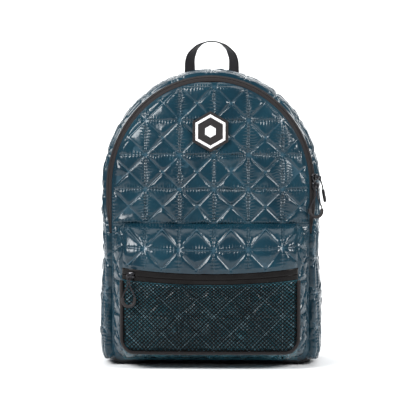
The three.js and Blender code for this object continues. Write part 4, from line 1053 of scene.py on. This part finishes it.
# Badge: a moulded hexagon, a raised line inside its rim and a smaller hexagon in the middle
def hexagonRing(width, height):
    corners = (np.arange(6) + 0.5) * math.pi / 3
    reach = width / math.sqrt(3)
    return np.stack([reach * np.cos(corners), reach * np.sin(corners), np.full(6, height)], 1)


# Lays points drawn flat, with z out of the bag, on the quilting where the badge sits
def ontoSeat(points):
    middle = np.array(0.0), np.array(float(badge["height"]))
    normal = normalsAt(frontPanelAt, *middle, 1)
    right = np.array([1.0, 0, 0])
    up = np.cross(normal, right)
    out = badge["seat"] * 1.1 + bag["gap"] + points[..., 2:]
    return frontPanelAt(*middle) + points[..., :1] * right + points[..., 1:2] * up + out * normal


def makeBadge():
    width, thick = badge["width"], badge["thickness"]
    rings = [hexagonRing(width - 2 * inset, h) for inset, h in [(0, 0), (0, thick - 0.6), (0.5, thick)]]
    plate = loftMesh("badge_base", ontoSeat(np.stack(rings)), blackRubber, smooth=False)
    finishPiece(plate, "black_rubber", "badge_plate")
    width, line = badge["width"] - 2 * badge["rim"], badge["line"]
    low, high = badge["lineRise"], badge["lineRise"] + 0.3
    profile = [(0, 0), (0, low), (0.3, high), (line - 0.3, high), (line, low), (line, 0)]
    rings = np.stack([hexagonRing(width - 2 * inset, thick + h) for inset, h in profile], 1)
    outline = loftMesh("badge_ring", ontoSeat(rings)[:, ::-1], whiteRubber, closed=True, smooth=False)
    finishPiece(outline, "white_rubber", "badge_outer_line")
    profile = [(0, 0), (0, low), (0.3, high)]
    rings = np.stack([hexagonRing(badge["heart"] - 2 * inset, thick + h) for inset, h in profile])
    heart = loftMesh("badge_centre", ontoSeat(rings), whiteRubber, smooth=False)
    finishPiece(heart, "white_rubber", "badge_heart")


# Points round a flat section one wide and one thick, with powers that square its two curves
def flatSection(count, flatPower, edgePower):
    turn = np.linspace(0, 2 * math.pi, count + 1)[:-1]
    c, s = np.cos(turn), np.sin(turn)
    return np.sign(c) * np.abs(c) ** flatPower / 2, np.sign(s) * np.abs(s) ** edgePower / 2


# A flat woven band along a path, with a rounded edge and its own lengthwise UV
def bandRings(middle, side, out, width, thickness):
    flat, rise = flatSection(24, 0.18, 0.7)
    a = flat[None, :, None] * width * side[:, None, :]
    b = rise[None, :, None] * thickness * out[:, None, :]
    uv = np.zeros((len(middle), len(flat), 2))
    uv[..., 0] = lengthsAlong(middle)[:, None]
    uv[..., 1] = flat * width
    return middle[:, None, :] + a + b, uv.reshape(-1, 2)


def squareUp(middle, side):
    ahead = unit(np.gradient(middle, axis=0))
    side = side - ahead * (side * ahead).sum(-1, keepdims=True)
    side = unit(side)
    return side, unit(np.cross(ahead, side))


# A smooth curve through points, evenly spaced by length
def through(points, count):
    points = np.asarray(points, float)
    ends = np.concatenate([[2 * points[0] - points[1]], points, [2 * points[-1] - points[-2]]])
    knots = np.concatenate([[0], np.cumsum(np.linalg.norm(np.diff(ends[:, :3], axis=0), axis=1) ** 0.5)])
    rows = []
    for i in range(1, len(ends) - 2):
        p0, p1, p2, p3 = ends[i - 1 : i + 3]
        t0, t1, t2, t3 = knots[i - 1 : i + 3]
        t = np.linspace(t1, t2, 24, endpoint=False)[:, None]
        a1 = (t1 - t) / (t1 - t0) * p0 + (t - t0) / (t1 - t0) * p1
        a2 = (t2 - t) / (t2 - t1) * p1 + (t - t1) / (t2 - t1) * p2
        a3 = (t3 - t) / (t3 - t2) * p2 + (t - t2) / (t3 - t2) * p3
        b1 = (t2 - t) / (t2 - t0) * a1 + (t - t0) / (t2 - t0) * a2
        b2 = (t3 - t) / (t3 - t1) * a2 + (t - t1) / (t3 - t1) * a3
        rows.append((t2 - t) / (t2 - t1) * b1 + (t - t1) / (t2 - t1) * b2)
    dense = np.concatenate(rows + [points[-1:]])
    length = lengthsAlong(dense[:, :3])
    wanted = np.linspace(0, length[-1], count)
    return np.stack([np.interp(wanted, length, column) for column in dense.T], 1)


# Handle: a webbing loop, flat on the back at its ends and standing on edge at the top
handle = {"width": 20, "thickness": 2, "radius": 32, "top": 456, "root": 384, "lean": 12}
handleTwist = [(0, 90), (0.36, 50), (0.46, 44), (0.72, 38), (0.9, 20), (1, 0)]


def makeHandle():
    r, turnHeight = handle["radius"], handle["top"] - handle["radius"]
    leg = np.linspace(handle["root"], turnHeight, 30, endpoint=False)
    turn = np.linspace(0, math.pi, 90)
    x = np.concatenate([0 * leg + r, r * np.cos(turn), 0 * leg - r])
    z = np.concatenate([leg, turnHeight + r * np.sin(turn), leg[::-1]])
    share = (z - handle["root"]) / (handle["top"] - handle["root"])
    twist = np.radians(readTable(handleTwist, share)) * np.sign(x)
    side = np.stack([np.sin(twist), -np.cos(twist), 0 * twist], 1)
    root = backPanelAt(np.array(float(r)), np.array(float(handle["root"])))
    y = root[1] + bag["gap"] + handle["thickness"] / 2 - handle["lean"] * ease((share - 0.3) / 0.7)
    middle = np.stack([x, y, z], 1)
    side, out = squareUp(middle, side)
    rings, uv = bandRings(middle, side, out, handle["width"], handle["thickness"])
    piece = loftMesh("carry_handle", rings, webbing, uv=uv)
    finishPiece(piece, "webbing", "top_handle")


# Sliders: a die-cast body with a bridge over it. Drawn with x across the zip, y along it, z out.
slider = {
    "length": 11,
    "width": 9,
    "thickness": 3,
    "seat": 1.1,
    "bridge": 6,
    "bridgeWidth": 2.6,
    "wire": 2,
    "cord": 2.0,
    "lowerHeight": 254,
    "upperHeight": 265.6,
    "pocketX": -109,
}
# The right half of a slider's outline, as shares of its half width and half length
sliderShape = [(0.7, -1), (0.9, -0.4), (1, 0.5), (0.8, 1), (0.3, 1)]
pull = {"grip": 4.6, "span": 16.5, "arm": 4, "drop": 33}


def makeSlider(name, node, foot, out, ahead):
    across = unit(np.cross(ahead, out))
    along = np.cross(out, across)
    origin = foot + out * slider["seat"]
    half = slider["width"] / 2
    left = [(-x, y) for x, y in sliderShape]
    outline = np.array(left[:1] + sliderShape + [(0, 0.72)] + left[:0:-1]) * (half, slider["length"] / 2)
    top = slider["thickness"]
    base = []
    for inset, h in [(0.5, 0), (0, 0.5), (0, top - 0.6), (0.6, top)]:
        base.append(np.concatenate([outline * (1 - inset / half), np.full((len(outline), 1), h)], 1))
    leg = slider["length"] * 0.4 - 1
    high = top + slider["bridge"] - slider["wire"] / 2
    rise = [(leg, 1.6), (leg, high - 1.6), (leg - 1.6, high)]
    path = through([(0, -y, z) for y, z in rise] + [(0, y, z) for y, z in rise[::-1]], 26)
    side = np.tile([1.0, 0, 0], (len(path), 1))
    bridge, _ = bandRings(path, *squareUp(path, side), slider["bridgeWidth"], slider["wire"])

    def placed(points):
        return origin + points[..., :1] * across + points[..., 1:2] * along + points[..., 2:] * out

    finishPiece(loftMesh(name, placed(np.stack(base)), sliderMetal), "slider_metal", node)
    finishPiece(loftMesh(name + "_bridge", placed(bridge), sliderMetal), "slider_metal", node)
    return origin, across, out


def tubeRings(path, diameter):
    side = np.zeros_like(path)
    ahead = unit(np.gradient(path, axis=0))
    side[0] = unit(np.cross(ahead[0], [0.31, 0.27, 0.91]))
    for i in range(1, len(path)):
        side[i] = unit(side[i - 1] - ahead[i] * (side[i - 1] @ ahead[i]))
    other = np.cross(ahead, side)
    turn = np.linspace(0, 2 * math.pi, 14, endpoint=False)[None, :, None]
    ring = np.cos(turn) * side[:, None, :] + np.sin(turn) * other[:, None, :]
    return path[:, None, :] + ring * diameter / 2


# How far down one strand of a cord is, and how far it stands from the middle between the two
strandRun = [(0, 0), (0.8, 2.1), (2.6, 2.8), (6.5, 2.4), (11, 1.3), (15, 1.3), (21, 3.4), (28, 6.8)]
strandRun.append((32.7, 8.25))


# A pull: a cord that hangs doubled from the slider's bridge and ends in a moulded U grip
def makePull(name, node, run, first, last):
    guide = through(run, 200)
    steps = lengthsAlong(guide)
    tangent = unit(np.gradient(guide, axis=0))

    def point(sideways, low):
        at = np.array([np.interp(low, steps, guide[:, k]) for k in range(3)])
        ahead = unit(np.array([np.interp(low, steps, tangent[:, k]) for k in range(3)]))
        share = float(ease(low / 15))
        aside = np.asarray(first) * (1 - share) + np.asarray(last) * share
        aside = unit(aside - ahead * (aside @ ahead))
        return at + aside * sideways

    right = [point(s, d) for d, s in strandRun]
    left = [point(-s, d) for d, s in strandRun[1:]][::-1]
    path = through(left + right, 120)
    curve = bpy.data.curves.new(name + "_cord", "CURVE")
    curve.dimensions = "3D"
    spline = curve.splines.new("POLY")
    spline.points.add(len(path) - 1)
    for p, q in zip(spline.points, path):
        p.co = (*(q / 1000), 1)
    curve.bevel_depth = slider["cord"] / 2000
    curve.bevel_resolution = 3
    curve.materials.append(webbing)
    cord = bpy.data.objects.new(name + "_cord", curve)
    bpy.context.collection.objects.link(cord)
    finishPiece(cord, "webbing", node + "_cord")
    half = pull["span"] / 2
    turn = np.linspace(0, math.pi, 13)
    low = pull["drop"] + pull["arm"]
    stops = [point(-half, pull["drop"]), point(-half, pull["drop"] + 2)]
    stops += [point(-half * math.cos(t), low + half * math.sin(t)) for t in turn]
    stops += [point(half, pull["drop"] + 2), point(half, pull["drop"])]
    rings = tubeRings(through(stops, 60), pull["grip"])
    middle = rings.mean(1, keepdims=True)
    ends = np.ones((len(rings), 1, 1))
    ends[0] = ends[-1] = 0.72
    ends[1] = ends[-2] = 0.94
    grip = loftMesh(name + "_grip_moulding", middle + (rings - middle) * ends, blackRubber)
    finishPiece(grip, "black_rubber", node + "_grip")


def makeSliders():
    eye = slider["thickness"] + (slider["bridge"] - slider["wire"]) / 2
    wireRise = slider["thickness"] + slider["bridge"] - slider["wire"] / 2
    hook = (slider["wire"] + slider["cord"]) / 2 + 0.45  # from the wire's middle to the cord's

    def onZip(height):
        along = alongAtHeight(height)
        middle = (bag["gap"] + float(zipWidthAt(np.array(along)))) / 2

        def spot(a, b):
            return wallAt(np.array([a]), lambda total: np.full((1, 1), b))[0][0, 0]

        foot = spot(along, middle)
        ahead = spot(along + 0.5, middle) - spot(along - 0.5, middle)
        aside = spot(along, middle + 0.5) - spot(along, middle - 0.5)
        return foot, unit(np.cross(aside, ahead)), unit(ahead)

    origin, across, out = makeSlider("slider_lower", "main_slider_lower", *onZip(slider["lowerHeight"]))
    start = origin + out * eye
    run = [start, start + [0, -3, -12], start + [-1, -13, -46]]
    makePull("front_zip_pull", "front_pull", run, across, [1, 0, 0])
    origin, across, out = makeSlider("slider_upper", "main_slider_upper", *onZip(slider["upperHeight"]))
    start = origin + out * wireRise - across * hook
    run = [
        start,
        start + across * 6 + [0, 0, -0.6],
        start + across * 10 + [1.6, 3, -10],
        start + across * 10 + [7, 17, -38],
    ]
    makePull("side_zip_pull", "side_pull", run, out, [0, 1, 0])
    place = np.array(float(slider["pocketX"])), np.array(pocket["zipTop"] - pocket["zipWidth"] / 2)
    foot, out = pocketAt(*place), normalsAt(pocketAt, *place, 1)
    origin, across, out = makeSlider("slider_pocket", "pocket_slider", foot, out, np.array([1.0, 0, 0]))
    start = origin + out * wireRise + [0, 0, hook]
    run = [start, start + [0, 0, -12], start + [0, -1.5, -46]]
    makePull("pocket_zip_pull", "pocket_pull", run, -out, [1, 0, 0])


# Base: smooth coated cloth, flat on the floor
def makeBase():
    along = np.linspace(-wallStart - 0.6, wallStart + 0.6, 160)
    shares = np.linspace(0, 1, 60)

    def across(width):
        return width[:, None] * shares[None, :]

    points, _ = wallAt(along, across)
    piece = sheetMesh("base_cloth_tray", points, baseCloth, -1)
    finishPiece(piece, "base_cloth", "base")


# Back panel: spacer mesh over foam
def makeBackPanel():
    gx, gz = np.meshgrid(np.arange(-146, 147, 2.0), np.arange(4, 407, 2.0), indexing="ij")
    inset = readGrid(backInset, gx, gz)
    points = backPanelAt(gx, gz)
    piece = sheetMesh("back_mesh", points, spacerMesh, -1, inset > -bag["turnIn"])
    finishPiece(piece, "back_cloth", "back_panel")


# Shoulder straps
strap = {
    "padWidth": 62,
    "padEndWidth": 46,
    "padThickness": 9,
    "webWidth": 25,
    "webThickness": 1.8,
    "tail": 85,
    "lockHeight": 24,
    "bar": 3.2,
    "tab": 10,
    "patchThickness": 2,
    "stitches": [(117, 58), (118.5, 47), (120.5, 36.5), (122, 26)],
    "start": [(46, 367), (46.6, 352)],
    "hang": [(49, 79, 331), (54, 95, 298), (60, 104, 255), (71, 102, 208), (82, 92, 165), (91, 80, 130)],
    "anchor": [(100, 16), (133, 22), (133, 58), (112, 58)],
    "yoke": [(-84, 338), (84, 338), (62, 372), (-62, 372)],
    "yokeHeight": 3.2,
    "anchorHeight": 2.3,
}


def onBack(x, z, rise):
    x, z = np.array(float(x)), np.array(float(z))
    return backPanelAt(x, z) + normalsAt(backPanelAt, x, z, -1) * rise


def patchPiece(name, outline, high):
    # a flat patch sewn on the back: a grid between its left and right edges
    rows, columns = 24, 40
    zs = np.linspace(min(p[1] for p in outline), max(p[1] for p in outline), rows)
    edges = []
    for z in zs:
        hits = []
        for (x0, z0), (x1, z1) in zip(outline, outline[1:] + outline[:1]):
            if z0 != z1 and min(z0, z1) - 1e-6 <= z <= max(z0, z1) + 1e-6:
                hits.append(x0 + (x1 - x0) * (z - z0) / (z1 - z0))
            elif z0 == z1 and abs(z - z0) < 1e-6:
                hits += [x0, x1]
        edges.append((min(hits), max(hits)))
    edges = np.array(edges)
    gx = mix(edges[:, :1], edges[:, 1:], np.linspace(0, 1, columns)[None, :])
    gz = np.repeat(zs[:, None], columns, 1)
    points = backPanelAt(gx, gz)
    normals = gridNormals(points, 1)
    i, j = np.arange(rows)[:, None], np.arange(columns)[None, :]
    rim = np.minimum(np.minimum(i, rows - 1 - i), np.minimum(j, columns - 1 - j))
    rise = np.where(rim == 0, 0.1, high - 0.5 * np.exp(-rim / 1.2) - 0.5 * (rim == 2))
    points = points + normals * rise[..., None]
    return sheetMesh(name, points, spacerMesh, 1)


def makeStrap(suffix, hand):
    flip = np.array([hand, 1, 1])
    sewn = 3 + 2 * bag["gap"] + strap["padThickness"] / 2
    count = 90
    middle = through([onBack(x, z, sewn) for x, z in strap["start"]] + strap["hang"], count) * flip
    share = np.linspace(0, 1, count)
    side, out = squareUp(middle, np.tile([1.0, 0, 0], (count, 1)))
    if out[0, 1] < 0:
        side, out = -side, -out
    ends = np.minimum(share, 1 - share) * 12
    scale = mix(1, strap["padEndWidth"] / strap["padWidth"], ease(share)) * mix(0.9, 1, ease(ends))
    flat, rise = flatSection(48, 0.35, 0.9)
    wide = strap["padWidth"] * scale[:, None, None]
    thick = strap["padThickness"] * mix(0.45, 1, ease(ends * 1.2))[:, None, None]
    rings = middle[:, None, :] + flat[None, :, None] * wide * side[:, None, :]
    rings = rings + rise[None, :, None] * thick * out[:, None, :]
    pad = loftMesh("padded_strap_" + suffix, rings, spacerMesh)
    finishPiece(pad, "back_cloth", "strap_pad_" + suffix)

    down = unit(middle[-1] - middle[-2])
    sideEnd, outEnd = side[-1], out[-1]

    def local(origin, low, outward):
        return origin + down * low + outEnd * outward

    lockMiddle = local(middle[-1], strap["tab"] + strap["lockHeight"] / 2, 0)
    barStep = (strap["lockHeight"] - strap["bar"]) / 2
    wrap = strap["bar"] * math.sqrt(0.5) + bag["gap"] + strap["webThickness"] / 2
    topBar = local(lockMiddle, -barStep, 0)
    reach = strap["tab"] + strap["bar"] / 2 - bag["gap"]
    tab = [local(topBar, -reach, -wrap), local(topBar, -reach / 2, -wrap), local(topBar, 0, -wrap)]
    for turnNow in np.linspace(0, math.pi, 9)[1:-1]:
        tab.append(local(topBar, wrap * math.sin(turnNow), -wrap * math.cos(turnNow)))
    tab += [local(topBar, 0, wrap), local(topBar, -reach / 2, wrap), local(topBar, -reach, wrap)]
    tabPath = np.array(tab)
    tabSides = squareUp(tabPath, np.tile(sideEnd, (len(tab), 1)))
    rings, uv = bandRings(tabPath, *tabSides, strap["webWidth"], strap["webThickness"])
    piece = loftMesh("buckle_tab_" + suffix, rings, webbing, uv=uv)
    finishPiece(piece, "webbing", "strap_tab_" + suffix)

    # the webbing hangs in front, goes back over the middle bar and down to the patch it is sewn on
    lower = []
    tailTop = local(lockMiddle, strap["lockHeight"] * 0.6, wrap)
    tailSag = unit(np.array([0, 0.04, -1.0]))
    for part in (1, 0.6, 0.25, 0.08, 0):
        straight = local(tailTop, strap["tail"] * part, 0)
        hanging = tailTop + tailSag * strap["tail"] * part
        lower.append(mix(straight, hanging, ease(part * 3)))
    lower.append(local(lockMiddle, 0, wrap))
    for turnNow in np.linspace(0, math.pi, 9)[1:-1]:
        lower.append(local(lockMiddle, -wrap * math.sin(turnNow), wrap * math.cos(turnNow)))
    lower.append(local(lockMiddle, 0, -wrap))
    lower.append(local(lockMiddle, strap["lockHeight"] * 0.7, -wrap))
    sides = [sideEnd] * len(lower)
    sewn, sewnSides = [], []
    patchTop = strap["patchThickness"] + 2 * bag["gap"] + strap["webThickness"] / 2
    for x, z in strap["stitches"]:
        inner = onBack(x - strap["webWidth"] / 2, z, patchTop)
        outer = onBack(x + strap["webWidth"] / 2, z, patchTop)
        middle = onBack(x, z, patchTop)
        middle = middle + [0, max(0, (inner[1] + outer[1]) / 2 - middle[1]), 0]
        across = unit(outer - inner) * flip
        sewn.append(middle * flip)
        sewnSides.append(across if across[0] * sideEnd[0] > 0 else -across)
    lower.append(lower[-1] * 0.4 + sewn[0] * 0.6 + [0, 1, 0])
    sides.append(np.array([math.copysign(1, sideEnd[0]), 0, 0]))
    stops = through(np.concatenate([lower + sewn, sides + sewnSides], 1), 150)
    path = stops[:, :3]
    rings, uv = bandRings(path, *squareUp(path, stops[:, 3:]), strap["webWidth"], strap["webThickness"])
    piece = loftMesh("adjusting_webbing_" + suffix, rings, webbing, uv=uv)
    finishPiece(piece, "webbing", "strap_webbing_" + suffix)
    for slot in bpy.data.objects["strap_buckle_" + suffix].material_slots:
        slot.material = bucklePlastic

    corners = [(x * hand, z) for x, z in strap["anchor"]]
    anchor = patchPiece("strap_anchor_patch_" + suffix, corners, strap["anchorHeight"])
    finishPiece(anchor, "back_cloth", "strap_anchor_" + suffix)


def makeYoke():
    patch = patchPiece("yoke_patch", strap["yoke"], strap["yokeHeight"])
    finishPiece(patch, "back_cloth", "yoke")


makeSliders()
print("sliders and pulls made")
makeFrontPanel()
print("front panel quilted")
makeSideWall()
print("side wall quilted")
makePocket()
print("pocket quilted")
makeMainZip()
makePocketZip()
makeNet()
makeBinding()
print("zips and net made")
makeBadge()
makeHandle()
makeBase()
makeBackPanel()
makeYoke()
makeStrap("right", 1)
makeStrap("left", -1)
print("handle, back and straps made")

# Studio: a pale floor that curves up into a wall behind, and soft lights round a dim room
studio = {
    "paper": "f4f5f6",
    "air": "f4f6f7",
    "halfWidth": 6.0,
    "front": -9.0,
    "back": 4.5,
    "curve": 1.2,
    "wallHeight": 3.0,
    "room": 0.16,
    "top": 62,
    "left": 80,
    "right": 52,
    "wall": 190,
}


def makeStudio():
    turn = np.linspace(0, math.pi / 2, 13)
    depth = np.concatenate([[studio["front"]], studio["back"] + studio["curve"] * np.sin(turn)])
    height = np.concatenate([[0], studio["curve"] * (1 - np.cos(turn))])
    depth, height = np.append(depth, depth[-1]), np.append(height, studio["wallHeight"])
    x = np.linspace(-studio["halfWidth"], studio["halfWidth"], 5)
    points = np.stack([x[:, None] + 0 * depth, depth + 0 * x[:, None], height + 0 * x[:, None]], -1)
    paper, shader = newMaterial("mattPaintedPlaster", Roughness=0.9)
    shader.inputs["Base Color"].default_value = linear(studio["paper"])
    shader.inputs["Specular IOR Level"].default_value = 0.1
    sheetMesh("studio_floor", points * 1000, paper, 1)


def addLight(name, place, aimAt, width, height, power):
    data = bpy.data.lights.new(name, "AREA")
    data.shape = "RECTANGLE"
    data.size, data.size_y, data.energy = width, height, power
    lamp = bpy.data.objects.new(name, data)
    lamp.location = place
    lamp.rotation_euler = (Vector(aimAt) - Vector(place)).to_track_quat("-Z", "Y").to_euler()
    bpy.context.collection.objects.link(lamp)


makeStudio()
addLight("topSoftbox", (0.0, 1.15, 2.6), (0, 0.5, 0), 3.2, 2.6, studio["top"])
addLight("leftSoftbox", (-1.6, -1.3, 1.7), (0, 0, 0.2), 1.2, 1.2, studio["left"])
addLight("rightSoftbox", (1.8, -1.1, 1.5), (0, 0, 0.2), 0.8, 1.0, studio["right"])
addLight("wallLight", (0.0, 3.0, 2.8), (0, 4.6, 0.2), 4.0, 1.2, studio["wall"])
bpy.context.scene.view_settings.view_transform = "Standard"
world = bpy.data.worlds.new("studio")
world.use_nodes = True
world.node_tree.nodes["Background"].inputs[0].default_value = linear(studio["air"])
world.node_tree.nodes["Background"].inputs[1].default_value = studio["room"]
bpy.context.scene.world = world
print("studio made")
